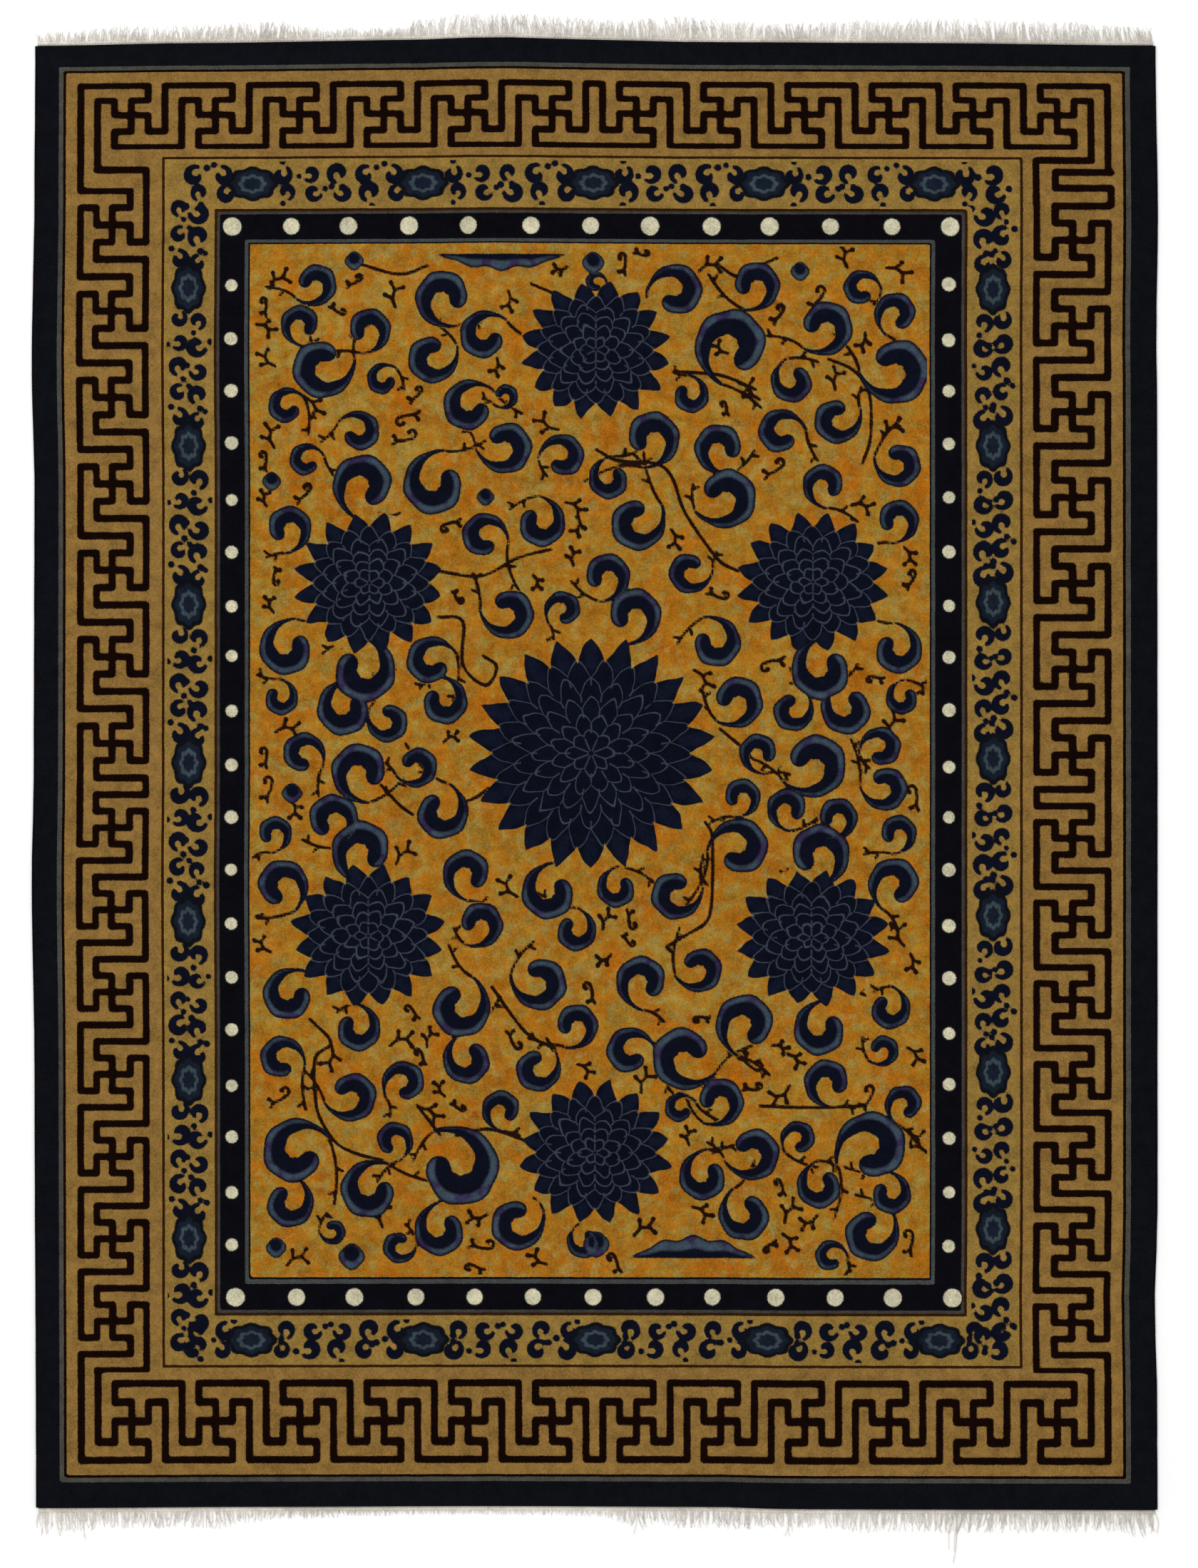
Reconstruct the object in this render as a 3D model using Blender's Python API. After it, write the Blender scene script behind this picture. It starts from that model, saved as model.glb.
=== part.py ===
"""Chinese room carpet: a knotted pile body, two overcast side cords and a fringed web at each end.

The carpet lies flat. +X is the right-hand side of the design, +Y its upper end and +Z is up. The origin is
under the middle of the whole carpet, fringes included, on the surface that it lies on. Sizes are in metres.
"""

import math
import random

import bmesh
import bpy
import numpy as np
from mathutils import Vector

# Body
bodyWidth = 2.745
bodyLength = 3.604
bodyThickness = 0.011
pileShoulder = 0.0065      # height where the side turns over into the pile
shoulderInset = 0.0035     # how far the clipped top edge stands inside the side
leanInset = 0.0012         # the same at two thirds of the height from shoulder to top
edgeStep = 0.105           # spacing of the outline's points
acrossSteps = round(bodyWidth / edgeStep)
alongSteps = round(bodyLength / edgeStep)

# Overcast side cords
cordWidth = 0.0065
cordHeight = 0.0062
cordSides = 8

# End webs and fringes
webWidth = 0.008
webThickness = 0.0030
locksPerEnd = 120
lockShare = 0.55           # part of the pitch that a lock's root takes
lockSections = 3
lockTipShare = 0.40        # tip width beside root width
lockTipHeight = 0.0014
leanWave = 0.0055          # sideways lean that neighbouring locks share
leanOwn = 0.0016           # sideways lean of each lock alone
lengthOwn = 0.14           # share by which a lock's length varies
waveSlow = 0.61            # turn of the long lean wave from lock to lock, in radians
waveQuick = 1.37           # turn of the short one
waveQuickShare = 0.6
fullLeanLength = 0.05      # a shorter lock leans less

gap = 0.0003

# Ground colours of the yarns, in linear light
goldWool = (0.50, 0.24, 0.02)
edgeWool = (0.012, 0.014, 0.030)
rawCotton = (0.72, 0.68, 0.58)
woolRoughness = 0.95
cordRoughness = 0.9
cottonRoughness = 0.95

# How far each side bows out of the plain rectangle, along the side from one corner to the other
# columns: share of the side's length, bow outwards
topBow = [(0.00, -0.017), (0.15, -0.010), (0.33, -0.003), (0.38, 0.003), (0.43, 0.004),
          (0.49, -0.002), (0.60, -0.008), (0.78, -0.010), (1.00, -0.016)]
bottomBow = [(0.00, 0.002), (0.20, -0.001), (0.40, -0.003), (0.60, -0.001), (0.68, 0.005),
             (0.85, 0.006), (1.00, 0.007)]
leftBow = [(0.00, -0.002), (0.10, 0.000), (0.22, 0.007), (0.30, 0.000), (0.50, 0.002),
           (0.57, 0.007), (0.70, 0.000), (1.00, -0.004)]
rightBow = [(0.00, -0.003), (0.12, 0.003), (0.20, -0.001), (0.24, 0.001), (0.50, 0.002),
            (0.80, 0.002), (0.86, -0.005), (0.92, 0.001), (1.00, 0.002)]

# How long the fringe is along each end, from left to right
# columns: share of the end's length, length of the fringe
topFringe = [(0.00, 0.024), (0.05, 0.036), (0.10, 0.038), (0.22, 0.040), (0.27, 0.022), (0.32, 0.028),
             (0.36, 0.052), (0.40, 0.058), (0.47, 0.046), (0.54, 0.048), (0.58, 0.062), (0.63, 0.044),
             (0.70, 0.042), (0.77, 0.050), (0.85, 0.056), (0.93, 0.048), (1.00, 0.040)]
bottomFringe = [(0.00, 0.056), (0.04, 0.050), (0.09, 0.042), (0.16, 0.046), (0.22, 0.024), (0.32, 0.015),
                (0.42, 0.014), (0.50, 0.018), (0.54, 0.048), (0.62, 0.046), (0.70, 0.042), (0.78, 0.052),
                (0.88, 0.050), (0.96, 0.044), (1.00, 0.060)]

# Single ends that trail past the rest of the lower fringe
# columns: share of the end's length, extra length
trailingEnds = [(0.04, 0.034), (0.54, 0.022), (0.67, 0.026), (0.82, 0.078), (0.98, 0.030)]


def smoothTable(table, share):
    """Read a two-column table at any share, eased between its rows so that the side has no corners."""
    for (startShare, startValue), (endShare, endValue) in zip(table, table[1:]):
        if share <= endShare:
            t = (share - startShare) / (endShare - startShare)
            t = t * t * (3.0 - 2.0 * t)
            return startValue + (endValue - startValue) * t
    return table[-1][1]


def facetTable(table, share, steps):
    """The same table as the outline's straight facets have it, so that the pieces beside it follow them."""
    step = min(int(share * steps), steps - 1)
    t = share * steps - step
    start = smoothTable(table, step / steps)
    end = smoothTable(table, (step + 1) / steps)
    return start + (end - start) * t


def endPoint(side, share, outwards=0.0):
    """A point on the upper (side 1) or lower (side -1) end, from left to right, moved outwards."""
    bow = facetTable(topBow if side > 0 else bottomBow, share, acrossSteps)
    return Vector(((share - 0.5) * bodyWidth, side * (bodyLength / 2 + bow + outwards), 0.0))


def flankPoint(side, share, outwards=0.0):
    """A point on the left (side -1) or right (side 1) edge, from the upper end down, moved outwards."""
    bow = facetTable(rightBow if side > 0 else leftBow, share, alongSteps)
    upper = bodyLength / 2 + smoothTable(topBow, 0.0 if side < 0 else 1.0)
    lower = -bodyLength / 2 - smoothTable(bottomBow, 0.0 if side < 0 else 1.0)
    return Vector((side * (bodyWidth / 2 + bow + outwards), upper + (lower - upper) * share, 0.0))


def bodyOutline():
    """The outline, anticlockwise from the lower left corner."""
    lower = [endPoint(-1, i / acrossSteps) for i in range(1, acrossSteps)]
    right = [flankPoint(1, 1 - i / alongSteps) for i in range(alongSteps + 1)]
    upper = [endPoint(1, 1 - i / acrossSteps) for i in range(1, acrossSteps)]
    left = [flankPoint(-1, i / alongSteps) for i in range(alongSteps + 1)]
    return lower + right + upper + left


def shrink(outline, inset):
    """The outline drawn in towards the middle by the same inset on every side."""
    shareX = 1.0 - 2.0 * inset / bodyWidth
    shareY = 1.0 - 2.0 * inset / bodyLength
    return [Vector((p.x * shareX, p.y * shareY, 0.0)) for p in outline]


def addRing(bm, points, height):
    return [bm.verts.new((p.x, p.y, height)) for p in points]


def bridgeRings(bm, lowerRing, upperRing):
    count = len(lowerRing)
    for i in range(count):
        j = (i + 1) % count
        bm.faces.new((lowerRing[i], lowerRing[j], upperRing[j], upperRing[i]))


def finishMesh(name, bm, colour, roughness):
    """Put a bmesh into an object of its own with its own material."""
    bmesh.ops.recalc_face_normals(bm, faces=bm.faces)
    mesh = bpy.data.meshes.new(name)
    bm.to_mesh(mesh)
    bm.free()
    piece = bpy.data.objects.new(name, mesh)
    bpy.context.collection.objects.link(piece)
    material = bpy.data.materials.new(name)
    material.use_nodes = True
    shader = material.node_tree.nodes["Principled BSDF"]
    shader.inputs["Base Color"].default_value = (*colour, 1.0)
    shader.inputs["Roughness"].default_value = roughness
    shader.inputs["Metallic"].default_value = 0.0
    mesh.materials.append(material)
    return piece


def makeBody():
    """Knotted body: an upright foundation edge, then the pile's side, which leans in to the clipped top."""
    bm = bmesh.new()
    outline = bodyOutline()
    foot = addRing(bm, outline, 0.0)
    shoulder = addRing(bm, outline, pileShoulder)
    lean = addRing(bm, shrink(outline, leanInset), (pileShoulder + 2 * bodyThickness) / 3)
    crown = addRing(bm, shrink(outline, shoulderInset), bodyThickness)
    bridgeRings(bm, foot, shoulder)
    bridgeRings(bm, shoulder, lean)
    bridgeRings(bm, lean, crown)
    bm.faces.new(crown)
    bm.faces.new(list(reversed(foot)))
    return finishMesh("carpet", bm, goldWool, woolRoughness)


def cordSection(centre, side):
    """Eight-sided section of a side cord, flat underneath, in the plane across the cord."""
    points = []
    for k in range(cordSides):
        angle = 2.0 * math.pi * (k + 0.5) / cordSides
        reach = 1.0 / math.cos(math.pi / cordSides)
        across = 0.5 * cordWidth * reach * math.cos(angle)
        height = 0.5 * cordHeight * (1.0 + reach * math.sin(angle))
        points.append(Vector((centre.x + side * across, centre.y, height)))
    return points


def makeSideCord(name, side):
    """Overcast cord along one side, which follows that side's bow."""
    bm = bmesh.new()
    rings = []
    for i in range(alongSteps + 1):
        centre = flankPoint(side, i / alongSteps, cordWidth / 2 + gap)
        rings.append([bm.verts.new(p) for p in cordSection(centre, side)])
    for first, second in zip(rings, rings[1:]):
        bridgeRings(bm, first, second)
    bm.faces.new(rings[0])
    bm.faces.new(list(reversed(rings[-1])))
    return finishMesh(name, bm, edgeWool, cordRoughness)


def lockPlans(side, draw):
    """Each lock's root, its length and its lean, as rows (first root edge, last root edge, length, lean)."""
    table = topFringe if side > 0 else bottomFringe
    pitch = 1.0 / locksPerEnd
    plans = []
    for i in range(locksPerEnd):
        middle = (i + 0.5) * pitch
        half = 0.5 * pitch * lockShare
        length = smoothTable(table, middle) * (1.0 + lengthOwn * (2.0 * draw.random() - 1.0))
        if side < 0:
            for place, extra in trailingEnds:
                if abs(place - middle) < pitch / 2:
                    length += extra
        wave = math.sin(waveSlow * i + side) + waveQuickShare * math.sin(waveQuick * i)
        lean = leanWave * wave + leanOwn * (2.0 * draw.random() - 1.0)
        lean *= min(1.0, length / fullLeanLength)
        plans.append((middle - half, middle + half, length, lean))
    return plans


def addLock(bm, root, side, length, lean):
    """Draw a lock out of its root face in sections that narrow and sink to the floor."""
    section = root
    base = [v.co.copy() for v in root]
    middle = sum((p.x for p in base)) / 4
    for k in range(1, lockSections + 1):
        t = k / lockSections
        narrow = 1.0 + (lockTipShare - 1.0) * t
        height = webThickness + (lockTipHeight - webThickness) * t
        shift = lean * t * (1.5 - 0.5 * t)
        following = []
        for p in base:
            x = middle + (p.x - middle) * narrow + shift
            y = p.y + side * length * t
            z = 0.0 if p.z < webThickness / 2 else height
            following.append(bm.verts.new((x, y, z)))
        bridgeRings(bm, section, following)
        section = following
    bm.faces.new(section)


def makeFringe(name, side, seed):
    """A narrow web along one end with the locks of warp drawn out of its outer wall."""
    draw = random.Random(seed)
    bm = bmesh.new()
    plans = lockPlans(side, draw)
    shares = [0.0]
    for start, end, _, _ in plans:
        shares += [start, end]
    shares.append(1.0)
    columns = []
    for share in shares:
        inner = endPoint(side, share, gap)
        outer = endPoint(side, share, gap + webWidth)
        corners = [(inner, 0.0), (outer, 0.0), (outer, webThickness), (inner, webThickness)]
        columns.append([bm.verts.new((p.x, p.y, z)) for p, z in corners])
    outerWall = 1
    for i, (first, second) in enumerate(zip(columns, columns[1:])):
        isRoot = i % 2 == 1
        for k in range(4):
            n = (k + 1) % 4
            wall = (first[k], second[k], second[n], first[n])
            if k == outerWall and isRoot:
                _, _, length, lean = plans[i // 2]
                addLock(bm, wall, side, length, lean)
            else:
                bm.faces.new(wall)
    bm.faces.new(columns[0])
    bm.faces.new(list(reversed(columns[-1])))
    return finishMesh(name, bm, rawCotton, cottonRoughness)


def centreOnOrigin(pieces):
    """Move every mesh so that the box round the whole carpet stands centred over the origin."""
    corners = []
    for piece in pieces:
        points = np.empty(len(piece.data.vertices) * 3)
        piece.data.vertices.foreach_get("co", points)
        points = points.reshape(-1, 3)
        corners += [points.min(axis=0), points.max(axis=0)]
    middle = (np.min(corners, axis=0) + np.max(corners, axis=0)) / 2
    for piece in pieces:
        for vertex in piece.data.vertices:
            vertex.co.x -= middle[0]
            vertex.co.y -= middle[1]


def main():
    for old in list(bpy.data.objects):
        bpy.data.objects.remove(old, do_unlink=True)
    pieces = [
        makeBody(),
        makeSideCord("side_cord_left", -1),
        makeSideCord("side_cord_right", 1),
        makeFringe("fringe_upper", 1, 11),
        makeFringe("fringe_lower", -1, 23),
    ]
    centreOnOrigin(pieces)


main()
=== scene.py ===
import math

import bpy
import numpy as np
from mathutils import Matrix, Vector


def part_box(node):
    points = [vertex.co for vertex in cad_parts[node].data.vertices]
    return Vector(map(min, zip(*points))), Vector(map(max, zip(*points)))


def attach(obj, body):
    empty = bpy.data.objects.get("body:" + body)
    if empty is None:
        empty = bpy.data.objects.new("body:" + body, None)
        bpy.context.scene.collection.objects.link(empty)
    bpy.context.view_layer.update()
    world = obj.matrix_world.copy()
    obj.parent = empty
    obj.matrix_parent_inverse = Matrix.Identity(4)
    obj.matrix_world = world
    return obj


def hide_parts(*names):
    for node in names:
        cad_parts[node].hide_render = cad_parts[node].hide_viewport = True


# Room-size Chinese carpet: clipped wool pile on a cotton back, wrapped side cords and a matted cotton fringe.
# The whole design is drawn on a chart of photo pixels, across from the left and down from the top.

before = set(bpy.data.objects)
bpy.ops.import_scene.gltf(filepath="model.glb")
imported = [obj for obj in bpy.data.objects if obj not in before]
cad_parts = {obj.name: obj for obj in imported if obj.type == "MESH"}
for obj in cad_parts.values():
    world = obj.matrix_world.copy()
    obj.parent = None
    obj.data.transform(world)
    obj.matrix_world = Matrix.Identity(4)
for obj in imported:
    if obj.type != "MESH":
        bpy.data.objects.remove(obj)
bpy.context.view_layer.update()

# Chart

chart = {
    "left": 51.0,            # first column of the design, in photo pixels
    "right": 1619.6,
    "top": 54.0,
    "bottom": 2113.5,
    "metresPerPixel": 0.00175,
    "leftBow": 0.0069,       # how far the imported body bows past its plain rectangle, in metres
    "upperBow": 0.0040,
    "edgeShare": 0.5,        # part of an edge's bow that dies out within the plain border
    "edgeReach": 35.0,
    "innerReach": 520.0,
    "pitch": 3.31,           # spacing of the knots that are modelled
    "footHeight": 0.0005,    # packed points under this height, in metres, are the body's foot
    "edgeFrom": 0.97,        # and belong to an edge when they are past this share of the half size
}
photoWidth, photoHeight = 1680, 2198
middleAcross = (chart["left"] + chart["right"]) / 2
middleDown = (chart["top"] + chart["bottom"]) / 2
pixel = chart["metresPerPixel"]
bodyWidth = (chart["right"] - chart["left"]) * pixel
bodyLength = (chart["bottom"] - chart["top"]) * pixel

carpetLow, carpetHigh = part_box("carpet")
centreX = carpetLow.x + chart["leftBow"] + bodyWidth / 2
centreY = carpetHigh.y - chart["upperBow"] - bodyLength / 2

# Where each band starts, counted inwards from the edge of its own side, in photo pixels
# columns: top, left, bottom, right. The left column is the shared depth that the bands are drawn on.
bandPlan = {
    "edge":        (0, 0, 0, 0),
    "paleLine":    (34, 31, 36, 34),
    "stripe":      (43, 41, 46, 45),
    "fretOuter":   (62.5, 62, 66.5, 66),
    "fretSecond":  (83.5, 84.5, 92, 89),
    "fretMiddle":  (104, 106, 121.5, 116),
    "fretFourth":  (127.5, 132, 148, 140),
    "fretInner":   (150, 154, 175, 167),
    "guardLine":   (163, 176, 196, 185),
    "flowerBand":  (202, 214, 235, 227),
    "brownLine":   (236, 249, 268, 262),
    "pearls":      (262, 274, 295, 289),
    "innerLine":   (280, 292, 313, 308),
    "field":       (287, 300, 323, 316),
    "far":         (387, 400, 423, 416),
}
sideColumn = {"top": 0, "left": 1, "bottom": 2, "right": 3}
sharedDepth = {name: row[sideColumn["left"]] for name, row in bandPlan.items()}


def bandDepth(side, distance):
    # the distance from one side, read through that side's column onto the shared depth
    own = [row[sideColumn[side]] for row in bandPlan.values()]
    return np.interp(distance, own, list(sharedDepth.values()))


def bandPlace(side, name):
    # the chart position of a band's start on one side
    distance = bandPlan[name][sideColumn[side]]
    if side in ("left", "top"):
        return chart[side] + distance
    return chart[side] - distance


def readPoints(mesh):
    # a mesh's points, one row of x, y and z for each
    points = np.empty(len(mesh.vertices) * 3)
    mesh.vertices.foreach_get("co", points)
    return points.reshape(-1, 3)


def edgeProfile(node, axis):
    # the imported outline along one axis: foot points on both sides, sorted along the other axis
    points = np.unique(readPoints(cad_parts[node].data).round(5), axis=0)
    foot = points[points[:, 2] < chart["footHeight"]]
    middle = (centreX, centreY)[axis]
    half = (bodyWidth, bodyLength)[axis] / 2
    sides = []
    for direction in (-1, 1):
        near = foot[direction * (foot[:, axis] - middle) > chart["edgeFrom"] * half]
        near = near[np.argsort(near[:, 1 - axis])]
        sides.append((near[:, 1 - axis], near[:, axis]))
    return sides


(leftAlong, leftEdge), (rightAlong, rightEdge) = edgeProfile("carpet", 0)
(lowerAlong, lowerEdge), (upperAlong, upperEdge) = edgeProfile("carpet", 1)


def bowShare(distance):
    # how much of an edge's bow is left at a distance from it: a quick and a slow exponential
    quick = chart["edgeShare"] * np.exp(-distance / chart["edgeReach"])
    slow = (1 - chart["edgeShare"]) * np.exp(-distance / chart["innerReach"])
    return quick + slow


def chartToFloor(across, down):
    # chart pixels to the row frame: the plain rectangle plus each side's bow times its share
    x = centreX + (across - middleAcross) * pixel
    y = centreY + (middleDown - down) * pixel
    halfWidth, halfLength = bodyWidth / 2, bodyLength / 2
    leftBow = np.interp(y, leftAlong, leftEdge) - (centreX - halfWidth)
    rightBow = np.interp(y, rightAlong, rightEdge) - (centreX + halfWidth)
    upperBow = np.interp(x, upperAlong, upperEdge) - (centreY + halfLength)
    lowerBow = np.interp(x, lowerAlong, lowerEdge) - (centreY - halfLength)
    newX = x + leftBow * bowShare(across - chart["left"]) + rightBow * bowShare(chart["right"] - across)
    newY = y + upperBow * bowShare(down - chart["top"]) + lowerBow * bowShare(chart["bottom"] - down)
    return newX, newY


# Knot grid

pileShape = {
    "seed": 7,
    "crown": 0.0105,         # height of the clipped face
    "ringInset": (0.0, 0.0, 0.7, 2.0),             # first rings in from the edge, in photo pixels
    "ringHeight": (0.0009, 0.0062, 0.0086, 0.0101),
    "backHeight": 0.0009,    # underside of the pile pieces, on top of the cotton back
    "clipping": 0.00022,     # unevenness from knot to knot
    "wear": 0.00045,         # slow unevenness
    "wearCells": ((18, 5, 0.6), (60, 6, 0.4)),     # knots in one wave, seed and share of each slow layer
    "carve": 0.0007,         # how deep the dark lines lie under the ground
    "carveFade": 4.0,        # over how many photo pixels a line's groove fades out
    "leafGroove": (2.2, 0.6),                      # half width in photo pixels and share of the carving
    "strips": 4,
    "backStep": 2,           # knots from one point of the back to the next
    "backSeed": 17,
    "backKnots": (0.0001, 0.00025),                # lowest knot over the floor, and how much they differ
    "backTop": 0.0008,
}


def gridLine(start, end):
    # edge rings, then even knots, then the rings of the far edge
    rings = np.array(pileShape["ringInset"])
    first, last = start + rings, end - rings[::-1]
    count = int(round((last[0] - first[-1]) / chart["pitch"]))
    inner = np.linspace(first[-1], last[0], count + 1)[1:-1]
    return np.concatenate([first, inner, last])


acrossLine = gridLine(chart["left"], chart["right"])
downLine = gridLine(chart["top"], chart["bottom"])
rows, columns = len(downLine), len(acrossLine)
across, down = np.meshgrid(acrossLine, downLine)
print(f"knot grid {columns} by {rows}")


def softNoise(cell, seed):
    # random heights on a coarse grid, eased between its points, from -1 to 1
    draw = np.random.default_rng(seed)
    wide, tall = int(columns / cell) + 2, int(rows / cell) + 2
    coarse = draw.uniform(-1, 1, (tall, wide))
    i, j = np.arange(columns) / cell, np.arange(rows) / cell
    i0, j0 = i.astype(int), j.astype(int)
    fi, fj = i - i0, j - j0
    fi, fj = fi * fi * (3 - 2 * fi), fj * fj * (3 - 2 * fj)
    upper = coarse[j0][:, i0] * (1 - fi) + coarse[j0][:, i0 + 1] * fi
    lower = coarse[j0 + 1][:, i0] * (1 - fi) + coarse[j0 + 1][:, i0 + 1] * fi
    return upper * (1 - fj[:, None]) + lower * fj[:, None]


# Dye channels: signed distances in photo pixels, below zero inside the motif
far = 60.0
lineMargin = 20              # how far a line's distances are worked out past its ends
channel = {name: np.full((rows, columns), far) for name in ("line", "leaf", "rim", "pearl", "flower", "twig")}
bloomX = np.full((rows, columns), 9.0)
bloomY = np.full((rows, columns), 9.0)
bloomSpan = np.full((rows, columns), 100.0)
bloomReach = np.full((rows, columns), 9.0)

depthOf = {
    "left": bandDepth("left", across - chart["left"]),
    "right": bandDepth("right", chart["right"] - across),
    "top": bandDepth("top", down - chart["top"]),
    "bottom": bandDepth("bottom", chart["bottom"] - down),
}
depth = np.minimum.reduce(list(depthOf.values()))


def patch(placeAcross, placeDown, reach):
    # the part of the knot grid round a place, and the distances across and upwards from it
    i0, i1 = np.searchsorted(acrossLine, (placeAcross - reach, placeAcross + reach))
    j0, j1 = np.searchsorted(downLine, (placeDown - reach, placeDown + reach))
    dx = acrossLine[i0:i1][None, :] - placeAcross
    dy = placeDown - downLine[j0:j1][:, None]
    return (slice(j0, j1), slice(i0, i1)), dx, dy


def lay(name, where, distance):
    # the nearer of what is there and the new shape
    target = channel[name]
    target[where] = np.minimum(target[where], distance)


def strokeDistance(dx, dy, points):
    # distance to a broken line through the points: the least of the distances to its straight parts
    nearest = np.full(np.broadcast(dx, dy).shape, 1e6)
    for (ax, ay), (bx, by) in zip(points, points[1:]):
        length2 = max((bx - ax) ** 2 + (by - ay) ** 2, 1e-9)
        t = np.clip(((dx - ax) * (bx - ax) + (dy - ay) * (by - ay)) / length2, 0, 1)
        nearest = np.minimum(nearest, np.hypot(dx - ax - t * (bx - ax), dy - ay - t * (by - ay)))
    return nearest


def layLine(name, points, half):
    # a line through chart points: everything nearer to it than its half width
    low, high = np.min(points, axis=0), np.max(points, axis=0)
    midX, midY = (low + high) / 2
    where, dx, dy = patch(midX, midY, max(high - low) / 2 + lineMargin)
    lay(name, where, strokeDistance(dx, dy, [(x - midX, midY - y) for x, y in points]) - half)


# Key fret

fret = {
    "lineHalf": 5.2,         # half width of the dark lines
    "step": 23.6,            # mean spacing of the lattice lines
    "unit": 5,               # lattice columns in one repeat
    "acrossUnits": 6,        # repeats in half of a short side
    "downUnits": 7,          # repeats in half of a long side
    "past": 4.0,             # how far a side's lines run past its lattice
    "rowReach": 3.2,         # rows that are drawn on each side of the middle one
    "extraRows": (238.5, 261.0, 284.5),      # the weaver's additional turn at the top of the right side
    "extraReach": 4.0,       # how far that turn stands past the outer line
}
fretRows = ("fretOuter", "fretSecond", "fretMiddle", "fretFourth", "fretInner")
# One repeat of the interlocking key, charted on its lattice
# columns: first column, first row, second column, second row
keyLines = [
    (0, 0, 4, 0), (4, 0, 4, 1), (3, 1, 4, 1), (3, 1, 3, 3), (2, 3, 3, 3), (2, 3, 2, 4), (2, 4, 6, 4),
    (1, 1, 1, 4), (1, 1, 2, 1), (2, 1, 2, 2), (2, 2, 4, 2), (4, 2, 4, 3), (4, 3, 5, 3), (5, 0, 5, 3),
    (0, 0, 0, 3), (5, 0, 6, 0),
]
carriedLine = (-3, 4, 1, 4)      # the inner line as it comes from the repeat before


def latticeRow(side):
    # row number across the fret, 0 at its outer line and 4 at its inner one
    depths = [sharedDepth[name] for name in fretRows]
    step = depths[1] - depths[0]
    knots = [depths[0] - step] + depths + [depths[-1] + step]
    return np.interp(depthOf[side], knots, [-1, 0, 1, 2, 3, 4, 5], left=-9, right=14)


def drawFret(side, units, start, middle, end, shownFrom, fromInside):
    # fold the side about its middle, then into repeats, and take the nearest line of the chart
    along = across if side in ("top", "bottom") else down
    share = np.where(along < middle, (along - start) / (middle - start), (end - along) / (end - middle))
    column = share * (units * fret["unit"] + 0.5)
    row = latticeRow(side)
    if fromInside:
        row = 4 - row
    unit = np.clip(np.floor(column / fret["unit"]), 0, units - 1)
    local = column - unit * fret["unit"]
    near = (along > shownFrom - fret["past"]) & (along < end + fret["past"])
    near &= np.abs(row - 2) < fret["rowReach"]
    dx, dy = local[near], row[near]
    nearest = np.full(dx.shape, 1e6)
    for a, b, c, d in keyLines:
        nearest = np.minimum(nearest, strokeDistance(dx, dy, [(a, b), (c, d)]))
    carried = strokeDistance(dx, dy, [carriedLine[:2], carriedLine[2:]])
    nearest = np.where(unit[near] > 0, np.minimum(nearest, carried), nearest)
    distance = nearest * fret["step"] - fret["lineHalf"]
    channel["line"][near] = np.minimum(channel["line"][near], distance)


def drawFretCorner(sideAcross, sideDown, innerTurn, outerTurn):
    # the two lines that carry the key round a corner, from the short side's lattice to the long side's
    columnStep = (fretRight - fretLeft) / (2 * fret["acrossUnits"] * fret["unit"] + 1)
    outerX = bandPlace(sideAcross, "fretOuter")
    columnX = outerX + (columnStep if sideAcross == "left" else -columnStep)
    outerLane = [(outerX, bandPlace(sideDown, "fretOuter")), (outerX, outerTurn)]
    innerLane = [(columnX, bandPlace(sideDown, "fretInner")), (columnX, innerTurn),
                 (bandPlace(sideAcross, "fretSecond"), innerTurn)]
    for lane in (outerLane, innerLane):
        layLine("line", lane, fret["lineHalf"])


fretLeft, fretRight = bandPlace("left", "fretOuter"), bandPlace("right", "fretOuter")
fretMiddle = (fretLeft + fretRight) / 2
# columns: side, repeats in half of it, lattice start, middle and end, where it shows from, row 0 at the inside
fretSides = [
    ("left", fret["downUnits"], 240.0, 1102.0, 1921.0, 262.0, True),
    ("right", fret["downUnits"], 262.0, 1118.0, 1921.0, 284.0, True),
    ("top", fret["acrossUnits"], fretLeft, fretMiddle, fretRight, fretLeft, False),
    ("bottom", fret["acrossUnits"], fretLeft, fretMiddle, fretRight, fretLeft, False),
]
# columns: sides, turn of the inner line and of the outer line
fretCorners = [
    ("left", "top", 235.5, 264.3), ("right", "top", 222.0, 238.5),
    ("left", "bottom", 1921.0, 1897.9), ("right", "bottom", 1921.0, 1898.4),
]
for row in fretSides:
    drawFret(*row)
for row in fretCorners:
    drawFretCorner(*row)
# the first rows of the long sides lie off the lattice, so their lines are drawn by themselves
firstTurn, secondTurn, lastTurn = fret["extraRows"]
joinedAt = {"left": 262.0, "right": lastTurn}
lanes = []
for side, end, innerTurn, outerTurn in fretCorners:
    if end == "top":
        innerX = bandPlace(side, "fretInner")
        secondX = bandPlace(side, "fretSecond")
        lanes.append([(secondX, innerTurn), (innerX, innerTurn), (innerX, joinedAt[side])])
outerX, fourthX = bandPlace("right", "fretOuter"), bandPlace("right", "fretFourth")
reachX = outerX + fret["extraReach"]
lanes.append([(reachX, firstTurn), (fourthX, firstTurn), (fourthX, secondTurn),
              (reachX, secondTurn), (reachX, lastTurn), (outerX, lastTurn)])
for lane in lanes:
    layLine("line", lane, fret["lineHalf"])
print("fret charted")

# Hook leaves and the other field motifs

leafForm = {
    "before": 0.10,          # the tail starts this far before the hook's opening, in radians
    "sweep": 5.3,            # from the tail's end to the head, in radians
    "thinnest": 2.2,         # least half width, in photo pixels
    "lobes": 6,
    "lobeDepth": 0.07,
    "growth": 1.05,
    "outline": 2.8,          # dark outline outside the pale rim
    "rimShare": 0.30,        # the pale rim lies outside this share of the half width
    "reach": 1.6,            # the leaf lies within this many times its size
}
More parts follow.
